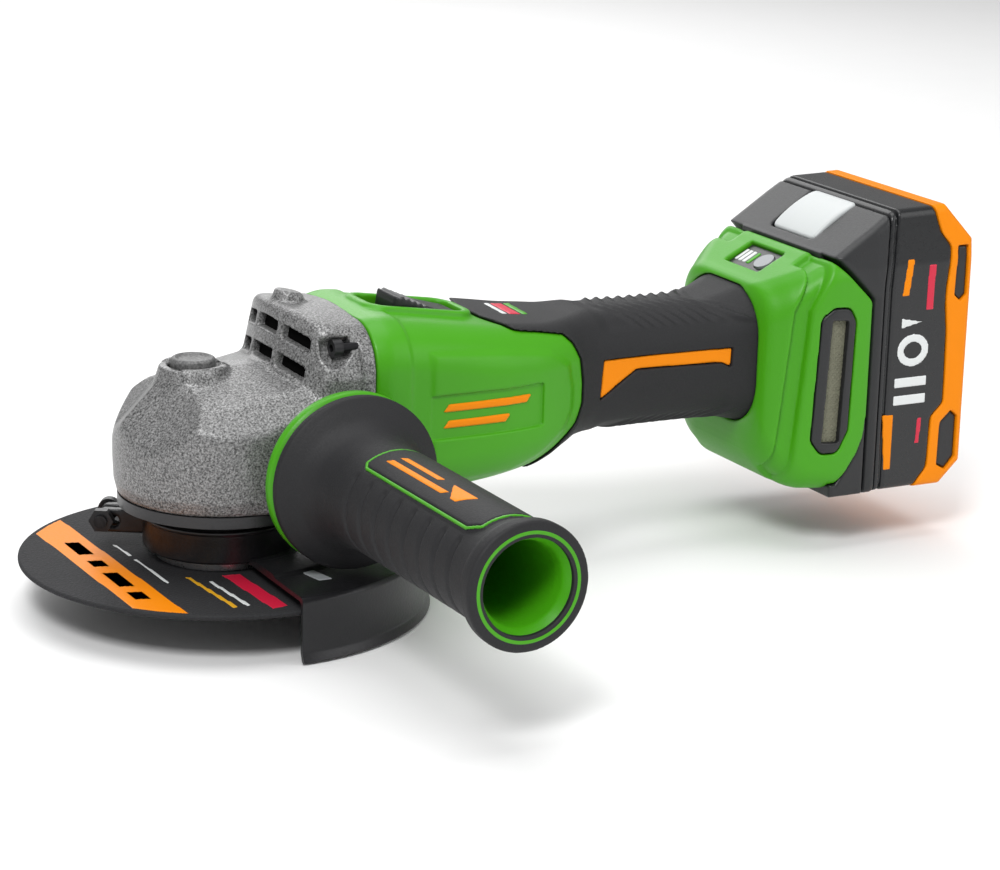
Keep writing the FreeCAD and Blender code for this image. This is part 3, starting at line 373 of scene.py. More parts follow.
def case_solid(x, y, z):
    """The gear case's outside: a round nose, a ridged roof with side facets, the vent block, the flange."""
    side = np.abs(y)
    draft = np.maximum(0.0, 46 - z) * 0.02
    nose = np.hypot(x, y) - 33.2 + np.maximum(0.0, 40 - z) * 0.05 + np.maximum(0.0, 33 - z) * 0.2
    plan = low_of(nose, rounded_rect(x - 19, y, 20, SIDE_HALF, 5) + draft, 4)
    slope = 0.67 * (z - 54 - (x + 31.9) + 0.6 * np.minimum(side, 14) + 0.2 * np.maximum(side - 14, 0))
    roof = 0.96 * (z - 68.3 - 0.03 * x + np.maximum(side - 3, 0) * (0.28 - 0.007 * x))
    facet = -0.153 * x + 0.647 * side + 0.747 * z - 62.1
    head = high_of(high_of(slope, roof, 1.0), facet, 0.6)
    body = high_of(high_of(plan, head, 1.8), NOSE_LOW - z, 1.2)
    half = 31.2 - 0.36 * np.maximum(z - 68, 0)
    lid = z - (86.6 - 0.10 * (x - 20)) + 0.0045 * side**2
    block = high_of(high_of(-block_lean(x, y, z), side - half, 4), lid, 3)
    block = high_of(block, 55 - z, 4)
    knob = high_of(np.hypot(x - 23.5, y - 2) - 4.2 - 0.30 * (89.6 - z), z - 89.4 + 0.22 * (x - 23.5), 1.2)
    knob = high_of(knob, 80 - z, 1)
    flange = rounded_rect(y, z - 54.2, 32.0, 29.2, 15)
    flange = high_of(flange, 33.4 - x, 0.8)
    boss = high_of(np.hypot(x - HANDLE_X, z - HANDLE_Z) - BOSS_RADIUS, side - CASE_END, 0.8)
    cap = high_of(np.hypot(x - LOCK_X, y) - 10.2 - 0.32 * (LOCK_SEAT - z), z - LOCK_SEAT, 0.8)
    solid = low_of(body, high_of(block, x - 37.6, 0.5), 2.0)
    solid = low_of(low_of(solid, knob, 1.2), flange, 0.6)
    solid = low_of(solid, high_of(cap, 55 - z, 1), 1.2)
    solid = low_of(solid, boss, 2.5)
    return high_of(solid, x - CASE_END, 0.4)


def case_cuts(solid, x, y, z):
    """Air slots, screw scallops, the lock button's bore, handle threads, and the open inside."""
    side = np.abs(y)
    behind = block_lean(x, y, z)
    drop = 0.006 * side**2
    for height in SLOT_ROWS:
        for middle, half in SLOT_COLUMNS:
            slot = rounded_rect(y - middle, z - height + drop, half, 2.15, 0.8)
            solid = cut_from(solid, high_of(slot, behind - 6.0, 0.3), 0.4)
    dimple = np.sqrt((x - 25.5)**2 + (side - 31.0)**2 + (z - SCREW_Z)**2) - 6.0
    recess = high_of(np.hypot(side - abs(SCREW_Y), z - SCREW_Z) - 3.0, band(x, 22, 31), 0.3)
    solid = cut_from(solid, low_of(dimple, recess, 0.8), 1.0)
    from_lock = np.hypot(x - LOCK_X, y)
    bore = low_of(high_of(from_lock - 7.9, 61.4 - z, 0.2), high_of(from_lock - 5.6, 56.0 - z, 0.2), 0.2)
    notch = high_of(band(y, -3.2, 3.2), band(x, LOCK_X, LOCK_X + 11.2), 0.3)
    solid = cut_from(cut_from(solid, bore, 0.5), high_of(notch, 67.2 - z, 0.3), 0.4)
    thread = high_of(np.hypot(x - HANDLE_X, z - HANDLE_Z) - 4.05, 24 - side, 0.2)
    solid = cut_from(solid, thread, 0.4)
    inside = high_of(np.hypot(x, y) - 23.4, z - 52, 1)
    rear_opening = high_of(rounded_rect(y, z - 54.5, 24, 22, 8), 24 - x, 1)
    return cut_from(solid, low_of(inside, rear_opening, 1), 0.5)


def gear_case():
    """The casting, with a sheet of painted shade behind its air slots."""
    def casting(x, y, z):
        return case_cuts(case_solid(x, y, z), x, y, z)
    piece = surface("gear_case_casting", casting, (-35, -38.5, 28), (38.5, 38.5, 91), FINE)
    settle(piece, HAMMERED, "housing", ["gear_case"])

    def slot_shade_field(x, y, z):
        """A near-black sheet of painted shade just behind the air slots, wrapped like the face they are cut
        in.
        """
        window = rounded_rect(y, z - 75.8 + 0.006 * y**2, 22.6, 6.8, 1)
        return high_of(band(block_lean(x, y, z), 2.6, 4.0), window, 0.3)
    # Painted shade: a near-black sheet that makes the blind air slots look deep.
    piece = surface("slot_shade_sheet", slot_shade_field, (14, -27, 62), (28, 27, 85), FINE)
    settle(piece, SLOT_SHADE, "housing")


def lock_button():
    """The spindle lock's cap, dished on top."""
    outline = [(0.01, 66.2), (6.9, 66.2), (6.9, 71.2), (5.8, 71.8), (4.6, 71.0), (0.01, 70.8)]
    piece = turned("lock_button_cap", rounded_profile(outline, 0.5), (LOCK_X, 0, 0), (0, 0, 1), TURNS_SMALL)
    settle(piece, CAST_BUTTON, "spindle_lock", ["spindle_lock_button"])


# ---------------------------------------------------------------- housing

# The tube along X: its top, bottom, half width and corner radius at each station.
TOP = [(38, 83.2), (44, 84.0), (53, 83.0), (66, 81.0), (81, 78.7), (95, 76.7), (107, 75.5), (115, 75.4),
       (125, 76.2), (150, 75.7), (168, 75.6), (175, 77.0), (181, 79.2), (184, 80.2)]
BOTTOM = [(38, 25), (44, 25), (60, 25.3), (81, 27), (95, 29), (104, 31.4), (111, 34), (118, 35.8),
          (130, 36), (150, 35.9), (172, 35.6), (181, 34.2), (184, 33.6)]
HALF = [(38, 32), (44, 33), (70, 33.2), (81, 33), (95, 31), (104, 28.4), (111, 25.5), (118, 22.6),
        (125, 21), (150, 20), (172, 20.4), (178, 21.4), (184, 22.8)]
ROUND = [(38, 15), (81, 15), (95, 14), (111, 13), (125, 15), (184, 15)]

# Tilted faces on top: the place of each in X and Z, and its slope.
SWITCH = (65.0, 80.9, 8.5)
PANEL = (194.0, 86.2, -28.0)
RELEASE = (216.5, 99.9, -32.5)


def tilted(x, z, place):
    """Distance along a tilted face, and height above it."""
    at_x, at_z, slope = place
    turn = math.radians(slope)
    along = (x - at_x) * math.cos(turn) - (z - at_z) * math.sin(turn)
    height = (x - at_x) * math.sin(turn) + (z - at_z) * math.cos(turn)
    return along, height


def tube(x, y, z, grow=0.0):
    """The motor housing and grip as one flowing tube along X."""
    top, bottom = curve(x, TOP), curve(x, BOTTOM)
    half, corner = curve(x, HALF), curve(x, ROUND)
    return rounded_rect(y, z - (top + bottom) / 2, half, (top - bottom) / 2, corner) - grow


# The edge of the rubber on the housing's side, from the top of the grip round to its underside.
RUBBER_EDGE = [(60, 100), (60, 79.5), (84, 77.2), (92, 76.0), (100.2, 74.7), (109.3, 72.9), (112.3, 70),
               (115.1, 64.5), (116.5, 56), (116.4, 49.5), (114, 43), (110.5, 39.5), (102.7, 33.8),
               (97, 30.2), (95, 24), (95, 10), (200, 10), (200, 100)]
# Half way up the grip: its ribs keep clear of this height by RIB_CLEAR.
GRIP_MIDDLE = 55.5
RIB_CLEAR = 14.5
RIB_PITCH = 4.2


def rubber_zone(x, y, z):
    """Negative where the grip rubber covers the housing; its front runs slantwise over the top."""
    slant = (85.2 - x) * 0.95 + 0.30 * np.maximum(np.abs(y) - 9, 0) * 0.95
    return high_of(polygon(x, z, RUBBER_EDGE) - 0.6, slant, 2.0)


SIDE_PANEL = [(57, 31), (57, 73.5), (84, 71.5), (102, 69), (109, 64), (111, 56), (111, 49), (107, 42.5),
              (98, 36), (88, 31.5)]


def switch_window(along, y, grow):
    """The outline of the opening that the switch slides in."""
    return rounded_rect(along + 0.7, y, 16.3 + grow, 8.4 + grow, 4.2 + grow)


def housing_shell(x, y, z):
    """The green housing in front: its collar band, side panel, badge recess and switch opening."""
    side = np.abs(y)
    outside = tube(x, y, z)
    collar = high_of(outside, x - 50, 1.5)
    shell = low_of(collar, high_of(outside + 0.8, 49 - x, 1.0), 1.2)
    panel = high_of(high_of(outside, polygon(x, z, SIDE_PANEL), 2.0), 18 - side, 1)
    shell = low_of(shell, panel, 1.2)
    badge = high_of(rounded_rect(x - 77.2, z - 53.2, 20.4, 7.0, 1.2), -(outside + 1.0), 0.1)
    shell = cut_from(shell, high_of(badge, 20 - side, 0.5), 0.35)
    along, height = tilted(x, z, SWITCH)
    lip = high_of(switch_window(along, y, 3.0), height - 1.5, 1.2)
    shell = low_of(shell, high_of(lip, -6 - height, 1), 1.4)
    shell = cut_from(shell, high_of(switch_window(along, y, 0.0), -6.2 - height, 0.5), 0.9)
    seated = high_of(rubber_zone(x, y, z), -(outside + 1.6), 0.1)
    shell = cut_from(cut_from(shell, seated, 0.5), outside + 2.6, 0.3)
    return high_of(high_of(shell, 38.3 - x, 0.4), x - 117.6, 0.3)


def slanted_bar(x, z, left, right, low, high, lean=2.0):
    """The outline of a plain bar with slanted ends."""
    return polygon(x, z, [(left, low), (right - lean, low), (right, high), (left + lean, high)])


def housing():
    """The green shell, the two bars on each side, and the deck under the switch."""
    piece = surface("motor_housing", housing_shell, (38, -34.5, 23), (118.5, 34.5, 87), FINE)
    settle(piece, GREEN, "housing", ["left_body_shell", "right_body_shell"])
    for name, left, right, low, high in (("badge_bar_upper", 61, 93, 54.6, 57.2),
                                         ("badge_bar_lower", 61, 85, 49.4, 52.0)):
        def bar(x, y, z):
            raised = band(tube(x, y, z), -1.5, -0.45)
            flat = slanted_bar(x, z, left, right, low, high)
            return high_of(high_of(flat, raised, 0.2), 20 - np.abs(y), 0.2)
        piece = surface(name, bar, (left - 1, -34, low - 1), (right + 1, 34, high + 1), FINE)
        settle(piece, ORANGE, "housing")

    def deck(x, y, z):
        """The dark deck under the switch."""
        along, height = tilted(x, z, SWITCH)
        return high_of(switch_window(along, y, 0.6), band(height, -5.4, -3.4), 0.3)
    piece = surface("switch_deck", deck, (46, -10, 72), (84, 10, 83), FINE)
    settle(piece, PANEL_BLACK, "housing")


def rib_bumps(x, y, z, height):
    """Shallow bowed ribs across the grip's top and bottom."""
    bowed = x - 0.035 * y**2
    wave = 0.5 + 0.5 * np.cos((bowed - 131) * 2 * math.pi / RIB_PITCH)
    reach = ramp(bowed - 128, 3) * ramp(169 - bowed, 3)
    return height * wave * reach * ramp(np.abs(z - GRIP_MIDDLE) - RIB_CLEAR, 2)


GRIP_STRIPE = [(124.9, 62.2), (173.5, 61.7), (173.2, 55.6), (170.0, 57.2), (137.4, 58.1), (123.8, 49.5)]


def grip():
    """The rubber cover, its inlaid stripe, and the plain label on top."""
    def rubber(x, y, z):
        ribbed = ramp(x - 125, 4) * ramp(172 - x, 4) * ramp(np.abs(z - GRIP_MIDDLE) - RIB_CLEAR, 2)
        solid = tube(x, y, z, 0.1) - rib_bumps(x, y, z, 0.9) + 0.7 * ribbed
        inlay = high_of(polygon(x, z, GRIP_STRIPE) - 0.3, -(tube(x, y, z) + 1.5), 0.1)
        solid = cut_from(solid, inlay, 0.3)
        shell = high_of(solid, rubber_zone(x, y, z) + 0.35, 0.6)
        shell = cut_from(shell, tube(x, y, z) + 2.3, 0.2)
        return high_of(shell, x - 183.4, 1.2)
    piece = surface("grip_rubber_cover", rubber, (82, -34, 24), (184, 34, 82), FINE)
    settle(piece, RUBBER, "housing", ["left_grip_rubber", "right_grip_rubber"])

    def stripe(x, y, z):
        flat = polygon(x, z, GRIP_STRIPE)
        return high_of(high_of(flat, band(tube(x, y, z), -1.9, -0.5), 0.2), 12 - np.abs(y), 0.2)
    piece = surface("grip_stripe", stripe, (122, -23, 48), (175, 23, 64), FINE)
    settle(piece, ORANGE, "housing")

    for name, material, start, width in (("top_label_white", WHITE_PRINT, 96.0, 2.2),
                                         ("top_label_red", RED_PRINT, 98.6, 4.4),
                                         ("top_label_green", GREEN, 103.4, 2.2)):
        def mark(x, y, z):
            lean = x - start - 0.08 * (y + 4)
            return high_of(high_of(band(lean, 0, width), band(y, -4, 12), 0.1),
                           band(tube(x, y, z), -0.8, 0.28), 0.1)
        piece = surface(name, mark, (94, -5, 73), (110, 13, 79), 0.5)
        settle(piece, material, "housing")


# ---------------------------------------------------------------- battery adapter

ADAPTER_TOP = [(181, 79.6), (183, 81.6), (186, 83.0), (191, 85.6), (197, 88.6), (203, 91.3), (218, 91.4)]
ADAPTER_LOW = [(181, 32), (183, 24), (186, 19), (191, 14.6), (197, 13.0), (218, 13.0)]
ADAPTER_HALF = [(181, 23), (183, 26.5), (186, 29.2), (190, 32.0), (197, 34.8), (206, 36), (218, 36)]
ADAPTER_ROUND = [(181, 12), (186, 12), (197, 9), (206, 7), (218, 6)]
# The rear bottom corner, where the green stops and the black base shows.
ADAPTER_HEEL = [(204.6, 5), (204.6, 15.4), (207, 15.4), (210.8, 20.2), (214.4, 25.5), (216.6, 31),
                (217.4, 37), (225, 37), (225, 5)]
# The middle of the vent bezel, which reaches VENT_REACH round it.
VENT_CORE = [(204.0, 72.4), (207.0, 72.2), (208.2, 70), (207.2, 34.6), (204.6, 29.6), (202, 29.6),
             (200.2, 32), (201.8, 70.8)]
VENT_REACH = 3.2
VENT_SLOT = [(201.1, 30.6), (206.7, 30.2), (208.2, 70.8), (202.9, 71.2)]
# The charge marks on the indicator panel: how far across, and half width.
LEVEL_MARKS = ((1.6, 0.9), (4.0, 0.9), (6.4, 0.9), (8.6, 0.7))


def adapter_solid(x, y, z):
    """The adapter's outside, flaring from the grip to the battery."""
    top, low = curve(x, ADAPTER_TOP), curve(x, ADAPTER_LOW)
    half, corner = curve(x, ADAPTER_HALF), curve(x, ADAPTER_ROUND)
    solid = rounded_rect(y, z - (top + low) / 2, half, (top - low) / 2, corner)
    rear_slope = plane(x, z, (202.8, 91.4), (219, 75.7))
    return high_of(high_of(solid, band(x, 181.4, 218), 2.0), rear_slope, 0.8)


def battery_channel(x, y):
    """The stepped channel that the battery's foot slides in."""
    side = np.abs(y)
    wide = high_of(side - 24.4, band(x, 203.3, 214), 0.2)
    return low_of(wide, high_of(side - 21, band(x, 213, 222), 0.2), 0.1)


def adapter():
    """The green adapter, its black base, the vent on each side, and the charge marks."""
    def green(x, y, z):
        side = np.abs(y)
        solid = adapter_solid(x, y, z)
        fold = 192.6 - 0.075 * (75 - np.clip(z, 20, 75)) + 0.5 * np.maximum(z - 75, 0)
        valley = high_of(np.abs(x - fold) - 2.4, -(solid + 2.4), 0.2)
        solid = cut_from(solid, high_of(valley, 20 - side, 1.5), 1.8)
        window = high_of(polygon(x, z, VENT_CORE) - VENT_REACH - 0.4, 33.2 - side, 0.2)
        solid = cut_from(solid, window, 0.5)
        along, height = tilted(x, z, PANEL)
        seat = high_of(rounded_rect(along, y, 5.8, 10.4, 0.8), -3.5 - height, 0.2)
        solid = cut_from(solid, seat, 0.4)
        collar = high_of(tube(x, y, z, 0.3), x - 185, 0.5)
        solid = cut_from(solid, collar, 1.0)
        solid = cut_from(solid, high_of(battery_channel(x, y), 19.6 - z, 0.3), 0.3)
        return cut_from(solid, polygon(x, z, ADAPTER_HEEL), 0.5)
    piece = surface("battery_adapter", green, (181, -37, 12), (219, 37, 92.5), FINE)
    settle(piece, GREEN, "housing")

    def base(x, y, z):
        outline = polygon(x, z, [(204.8, 10.7), (204.8, 15.0), (207, 15.0), (210.6, 20.0), (214.2, 25.4),
                                 (216.3, 31), (217.0, 36.5), (218.0, 36.5), (218.0, 10.7)])
        solid = high_of(outline, np.abs(y) - 35.4, 1.2)
        return cut_from(solid, high_of(battery_channel(x, y), 19.6 - z, 0.3), 0.3)
    piece = surface("adapter_base", base, (204, -36, 10), (219, 36, 37), FINE)
    settle(piece, BLACK, "housing", ["base_bumper"])

    for sign, side_name in ((-1, "left"), (1, "right")):
        def frame_ring(x, y, z):
            edge = polygon(x, z, VENT_CORE) - VENT_REACH
            outer = curve(x, ADAPTER_HALF)
            ring = high_of(edge, 0.4 - polygon(x, z, VENT_SLOT), 1.2)
            return high_of(ring, band(y * sign - outer, -3.0, -0.1), 0.6)
        low, high = sorted((31 * sign, 37 * sign))
        ring = surface(f"{side_name}_vent_frame", frame_ring, (193, low, 25), (213, high, 78), FINE)
        settle(ring, BLACK, "housing")
        mesh = vent_mesh(f"{side_name}_vent_weave", sign)
        settle(mesh, MESH_GREY, "housing", [f"{side_name}_vent_mesh"])

    for k, (across, half) in enumerate(LEVEL_MARKS):
        def mark(x, y, z):
            along, height = tilted(x, z, PANEL)
            flat = rounded_rect(along, y - across, 3.0, half, 0.4)
            return high_of(flat, band(height, -1.0, -0.35), 0.1)
        piece = surface(f"level_mark_{k}", mark, (188, 0, 81), (200, 10, 92), 0.3)
        settle(piece, WHITE_PRINT if k else GREEN, "housing")


def vent_mesh(name, sign):
    """A fine ribbed filter behind the adapter's window."""
    def weave(x, y, z):
        ridges = 0.3 * np.cos(z * 2 * math.pi / 1.6) * np.cos(x * 2 * math.pi / 1.6)
        plate = band(y * sign + ridges, 32.6, 33.8)
        return high_of(polygon(x, z, VENT_SLOT) - 1.6, plate, 0.2)
    low, high = sorted((31.5 * sign, 35 * sign))
    return surface(name, weave, (193, low, 25), (213, high, 78), 0.45)


# ---------------------------------------------------------------- battery

BATTERY_SIDE = [(218.5, 10.4), (218.5, 77.3), (203.9, 91.9), (227, 106.6), (247, 107), (258, 95),
                (258, 18), (250, 10.4)]
# Where the orange trim starts on the pack's side, by height.
TRIM_EDGE = [(10, 238.5), (13, 240.5), (18, 244), (34, 244.6), (40, 249.2), (62, 248.9), (76, 247.8),
             (92, 249), (98, 245), (107, 242)]
TRIM_WINDOWS = {
    "lower": [(252.5, 36.3), (248.3, 32.4), (247.9, 17.5), (251.7, 15.5), (255.4, 19.7), (255.4, 34)],
    "upper": [(251.6, 93), (250.8, 76.3), (253.4, 74), (255.8, 76), (255.8, 93)],
}


def top_draft(z):
    """How far the pack's sides pull in towards its top."""
    return 0.10 * np.maximum(z - 88, 0)


def seam_lean(z):
    """How far back the seam between the pack's shells curves towards its top."""
    return 0.04 * np.maximum(z - 80, 0)**1.2


def battery_solid(x, y, z):
    """The pack's outside, pulled in a little towards its top and at its nose."""
    side = np.abs(y)
    half = 35.5 - top_draft(z) - ramp(219 - x, 15)
    return high_of(polygon(x, z, BATTERY_SIDE) + 1.5, side - half + 1.5, 3) - 1.5


def battery():
    """The pack: its two cases, end trim, insets, back plate and print."""
    def front(x, y, z):
        solid = high_of(battery_solid(x, y, z), x - 222.6 - seam_lean(z), 1.0)
        foot = low_of(high_of(band(x, 203.7, 213.6), np.abs(y) - 24, 0.5),
                      high_of(band(x, 212, 220), np.abs(y) - 20.6, 0.5), 0.3)
        solid = low_of(solid, high_of(foot, band(z, 20, 92), 0.4), 0.5)
        along, height = tilted(x, z, RELEASE)
        room = high_of(rounded_rect(along, y, 10.7, 13.1, 2.4), -4.2 - height, 0.3)
        return cut_from(solid, room, 0.5)
    piece = surface("battery_front_case", front, (203, -36, 10), (227, 36, 108), FINE)
    settle(piece, BLACK, "battery", ["battery_front_shell"])

    def rear(x, y, z):
        outside = battery_solid(x, y, z)
        solid = high_of(outside + 0.3, x - curve(z, TRIM_EDGE) + 0.3, 0.5)
        solid = high_of(solid, 222.9 + seam_lean(z) - x, 0.5)
        seam = np.abs(x - 225.2 - seam_lean(z)) - 0.5
        return cut_from(solid, high_of(seam, -(outside + 1.4), 0.1), 0.5)
    piece = surface("battery_rear_case", rear, (221, -36, 10), (250, 36, 108), FINE)
    settle(piece, PANEL_BLACK, "battery", ["battery_rear_shell"])

    def trim(x, y, z):
        solid = high_of(battery_solid(x, y, z), curve(z, TRIM_EDGE) - x, 0.6)
        for window in TRIM_WINDOWS.values():
            solid = cut_from(solid, high_of(polygon(x, z, window), 31 - np.abs(y), 0.3), 0.5)
        back = high_of(rounded_rect(y, z - 56, 24, 30, 4), 256.6 - x, 0.2)
        return cut_from(solid, back, 0.6)
    piece = surface("battery_end_trim", trim, (238, -36, 10), (258.5, 36, 108), FINE)
    settle(piece, ORANGE, "battery", ["battery_trim"])

    for name, window in TRIM_WINDOWS.items():
        def inset(x, y, z):
            return high_of(polygon(x, z, window) + 0.3, band(np.abs(y), 31.2, 34.6 - top_draft(z)), 0.5)
        low, high = min(p[1] for p in window), max(p[1] for p in window)
        piece = surface(f"trim_inset_{name}", inset, (246, -36, low - 1), (257, 36, high + 1), FINE)
        settle(piece, BLACK, "battery")

    def back_plate(x, y, z):
        ribs = 0.3 * np.cos(z * 2 * math.pi / 6)
        return high_of(rounded_rect(y, z - 56, 23.7, 29.7, 3.8), band(x + ribs, 255.4, 257.1), 0.3)
    piece = surface("battery_back_plate", back_plate, (254, -25, 25), (258.2, 25, 87), FINE)
    settle(piece, BLACK, "battery")
    battery_print()


def battery_print():
    """Plain printed shapes on the pack's sides."""
    angles = [k * math.pi / 12 for k in range(24)]
    ring = [(235.2 + 6.4 * math.cos(angle), 58.7 + 5.6 * math.sin(angle)) for angle in angles]
    prints = {
        "white_bars": (WHITE_PRINT, [[(228.4, 49.6), (241.4, 49.6), (241.4, 46.2), (228.4, 46.2)],
                                     [(228.4, 43.4), (241.4, 43.4), (241.4, 40.0), (228.4, 40.0)],
                                     [(230.0, 66.4), (238.6, 68.2), (230.0, 70.0)]]),
        "orange_bars": (ORANGE, [[(224.6, 37.2), (228.8, 37.2), (228.8, 18.0), (226.2, 18.0)],
                                 [(229.6, 77.4), (232.4, 77.4), (234.0, 90.0), (231.2, 90.0)]]),
        "red_bars": (RED_PRINT, [[(239.6, 72.0), (242.6, 72.0), (242.8, 87.6), (239.8, 87.6)],
                                 [(238.2, 26.0), (240.0, 26.0), (240.6, 35.0), (238.8, 35.0)]]),
    }
    for name, (material, outlines) in prints.items():
        def mark(x, y, z):
            flat = polygon(x, z, outlines[0])
            for outline in outlines[1:]:
                flat = np.minimum(flat, polygon(x, z, outline))
            if material is WHITE_PRINT:
                flat = np.minimum(flat, np.abs(polygon(x, z, ring) + 1.4) - 1.4)
            return high_of(flat, band(battery_solid(x, y, z), -0.9, -0.12), 0.1)
        piece = surface(f"battery_{name}", mark, (223, -36, 16), (244, 36, 92), 0.5)
        settle(piece, material, "battery")


def release_button():
    """The pale key that frees the pack."""
    def key(x, y, z):
        along, height = tilted(x, z, RELEASE)
        plate = high_of(rounded_rect(along, y, 10.2, 12.6, 2.2), height - 0.9 + 0.012 * along**2, 0.8)
        return high_of(plate, -1.8 - height, 0.3)
    piece = surface("release_key", key, (205, -14, 90), (228, 14, 109), FINE)
    settle(piece, PALE, "battery_release", ["release_button"])


# ---------------------------------------------------------------- switch

# The knob's top along its length.
KNOB_TOP = [(-9.6, 1.4), (-9.0, 3.6), (-7.4, 4.0), (-4, 3.2), (3, 1.6), (8, 0.9), (15, 0.2)]


def switch_knob():
    """The toothed cap of the sliding switch."""
    def cap(x, y, z):
        along, height = tilted(x, z, SWITCH)
        teeth = 0.40 * np.cos(along * 2 * math.pi / 2.2) * ramp(3 - along, 2)
        top = curve(along, KNOB_TOP)
        plate = high_of(rounded_rect(along - 2.7, y, 12.2, 7.4, 2.0), height - top - teeth, 0.6)
        return high_of(plate, -2.0 - height, 0.3)
    piece = surface("switch_slide_cap", cap, (53, -8.5, 75), (82, 8.5, 89), SMALL)
    settle(piece, BLACK, "switch_top", ["switch_knob"])


# ---------------------------------------------------------------- guard and disc

# Degrees about the spindle, from +X: the guard's first edge, its sweep, and its clamp.
GUARD_START, GUARD_SWEEP, CLAMP_ANGLE = -91, 180, 148
# The radius of the disc's bore, and how far its print stays inside its edge.
DISC_BORE, PRINT_MARGIN = 11.1, 1.3


def guard():
    """The half-round guard, its collar band, clamp ears and label."""
    shell_profile = [(22.1, 11.0), (62.6, 11.0), (63.4, 10.2), (63.4, -5.0), (64.8, -7.8), (66.3, -7.4),
                     (64.8, -4.6), (64.8, 11.2), (63.8, 12.4), (44, 12.4), (42, 13.2), (29, 13.2),
                     (27, 12.4), (22.1, 12.4)]
    shell = turned("guard_shell", rounded_profile(shell_profile, 0.6, 3), (0, 0, 0), (0, 0, 1), TURNS_GUARD,
                   GUARD_START, GUARD_SWEEP)
    sharpen(shell, 40)
    settle(shell, BLACK_STEEL, "guard_group", ["guard"])
    band_profile = [(22.07, 11.0), (23.4, 11.0), (24.0, 11.6), (24.0, 20.2), (24.4, 20.6), (24.4, 21.5),
                    (22.07, 21.5)]
    rounded_band = rounded_profile(band_profile, 0.3, 2)
    collar = turned("guard_collar_band", rounded_band, (0, 0, 0), (0, 0, 1), TURNS_GUARD)
    settle(collar, BLACK_STEEL, "guard_group")
    turn = math.radians(CLAMP_ANGLE)

    def ears(x, y, z):
        out = x * math.cos(turn) + y * math.sin(turn)
        across = -x * math.sin(turn) + y * math.cos(turn)
        thick = np.abs(np.abs(across) - 2.6) - 1.6
        plates = high_of(rounded_rect(out - 30, z - 17.6, 7.5, 3.7, 2.0), thick, 0.4)
        return cut_from(plates, np.hypot(out - 33, z - 17.5) - 2.1, 0.2)
    piece = surface("guard_clamp_ears", ears, (-45, 6, 13), (-14, 34, 22), SMALL)
    settle(piece, BLACK_STEEL, "guard_group")

    def label(x, y, z):
        flat = polygon(x, y, [(8, -38), (12.5, -38), (15, -51), (10.5, -51)])
        return high_of(flat, band(z, 12.0, 12.62), 0.1)
    piece = surface("guard_label", label, (7, -52, 11.5), (16, -37, 13.2), SMALL)
    settle(piece, GREY_PRINT, "guard_group")


def disc():
    """The cutting disc and the plain shapes printed on it."""
    (_, _, low), (edge, _, high) = cad_box("cutting_disc")
    profile = [(DISC_BORE, low), (edge - 0.6, low), (edge, low + 0.4), (edge, high - 0.4),
               (edge - 0.6, high), (DISC_BORE, high)]
    piece = turned("abrasive_disc", rounded_profile(profile, 0.2, 2), (0, 0, 0), (0, 0, 1), TURNS_DISC)
    sharpen(piece, 40)
    settle(piece, ABRASIVE, "spindle_group", ["cutting_disc"])

    def print_patch(name, material, outlines):
        def mark(x, y, z):
            flat = polygon(x, y, outlines[0])
            for outline in outlines[1:]:
                flat = np.minimum(flat, polygon(x, y, outline))
            flat = high_of(flat, np.hypot(x, y) - (edge - PRINT_MARGIN), 0.2)
            return high_of(flat, band(z, 7.6, 8.12), 0.05)
        xs = [x for outline in outlines for x, y in outline]
        ys = [y for outline in outlines for x, y in outline]
        low_corner, high_corner = (min(xs) - 1, min(ys) - 1, 7), (max(xs) + 1, max(ys) + 1, 9)
        patch = surface(name, mark, low_corner, high_corner, 0.5)
        settle(patch, material, "spindle_group")

    print_patch("disc_band", ORANGE, [[(-45.6, -46), (-31.6, -53), (-33.4, 53), (-46.6, 42)]])
    dashes = [[(-42.0, start), (-36.4, start - 1.6), (-36.4, start + length - 1.6), (-42.0, start + length)]
              for start, length in ((-34, 9), (-21, 16), (0, 8), (13, 15))]
    print_patch("disc_dashes", BLACK, dashes)
    print_patch("disc_line", WHITE_PRINT, [[(-28.8, 20), (-26.8, 19), (-26.2, 6), (-28.2, 6)],
                                           [(-28.2, 3), (-26.2, 3), (-25.6, -23), (-27.6, -24)],
                                           [(-15.6, -26), (-13.4, -26), (-11.6, -52), (-14.0, -53)],
                                           [(-18.4, 44), (-16.4, 43), (-16.8, 31), (-18.8, 32)]])
    print_patch("disc_yellow", YELLOW_PRINT, [[(-20.4, -19), (-18.0, -20), (-15.6, -52), (-18.2, -53)]])
    print_patch("disc_tag", RED_PRINT, [[(-9.4, -22), (-3.0, -23), (-1.6, -57), (-8.0, -58)]])


# ---------------------------------------------------------------- side handle

def handle_polar(x, z):
    """Distance from the handle's axis, and the angle from its top towards -X in degrees."""
    return np.hypot(x - HANDLE_X, z - HANDLE_Z), np.degrees(np.arctan2(HANDLE_X - x, z - HANDLE_Z))


# The badge on the grip: distance along the handle, and degrees round it from its top.
BADGE_OUTLINE = [(73.5, -34), (73.5, 34), (76, 40), (139, 40), (144.5, 30), (144.5, -30), (139, -40),
                 (76, -40)]
MM_PER_DEGREE = 0.3
GROOVE_PITCH = 9.2
# The grip's radius along the handle.
GRIP_RADIUS = [(45.8, 27.0), (48.6, 27.0), (50.2, 25.0), (53.5, 20.6), (58, 18.0), (64, 17.0),
               (140, 16.2), (148, 17.0), (152.5, 18.8), (156.4, 18.9)]


def badge_edge(along, angle):
    """Distance outside the badge's edge, measured over the grip's surface."""
    outline = [(distance, degrees * MM_PER_DEGREE) for distance, degrees in BADGE_OUTLINE]
    return polygon(along, angle * MM_PER_DEGREE, outline)


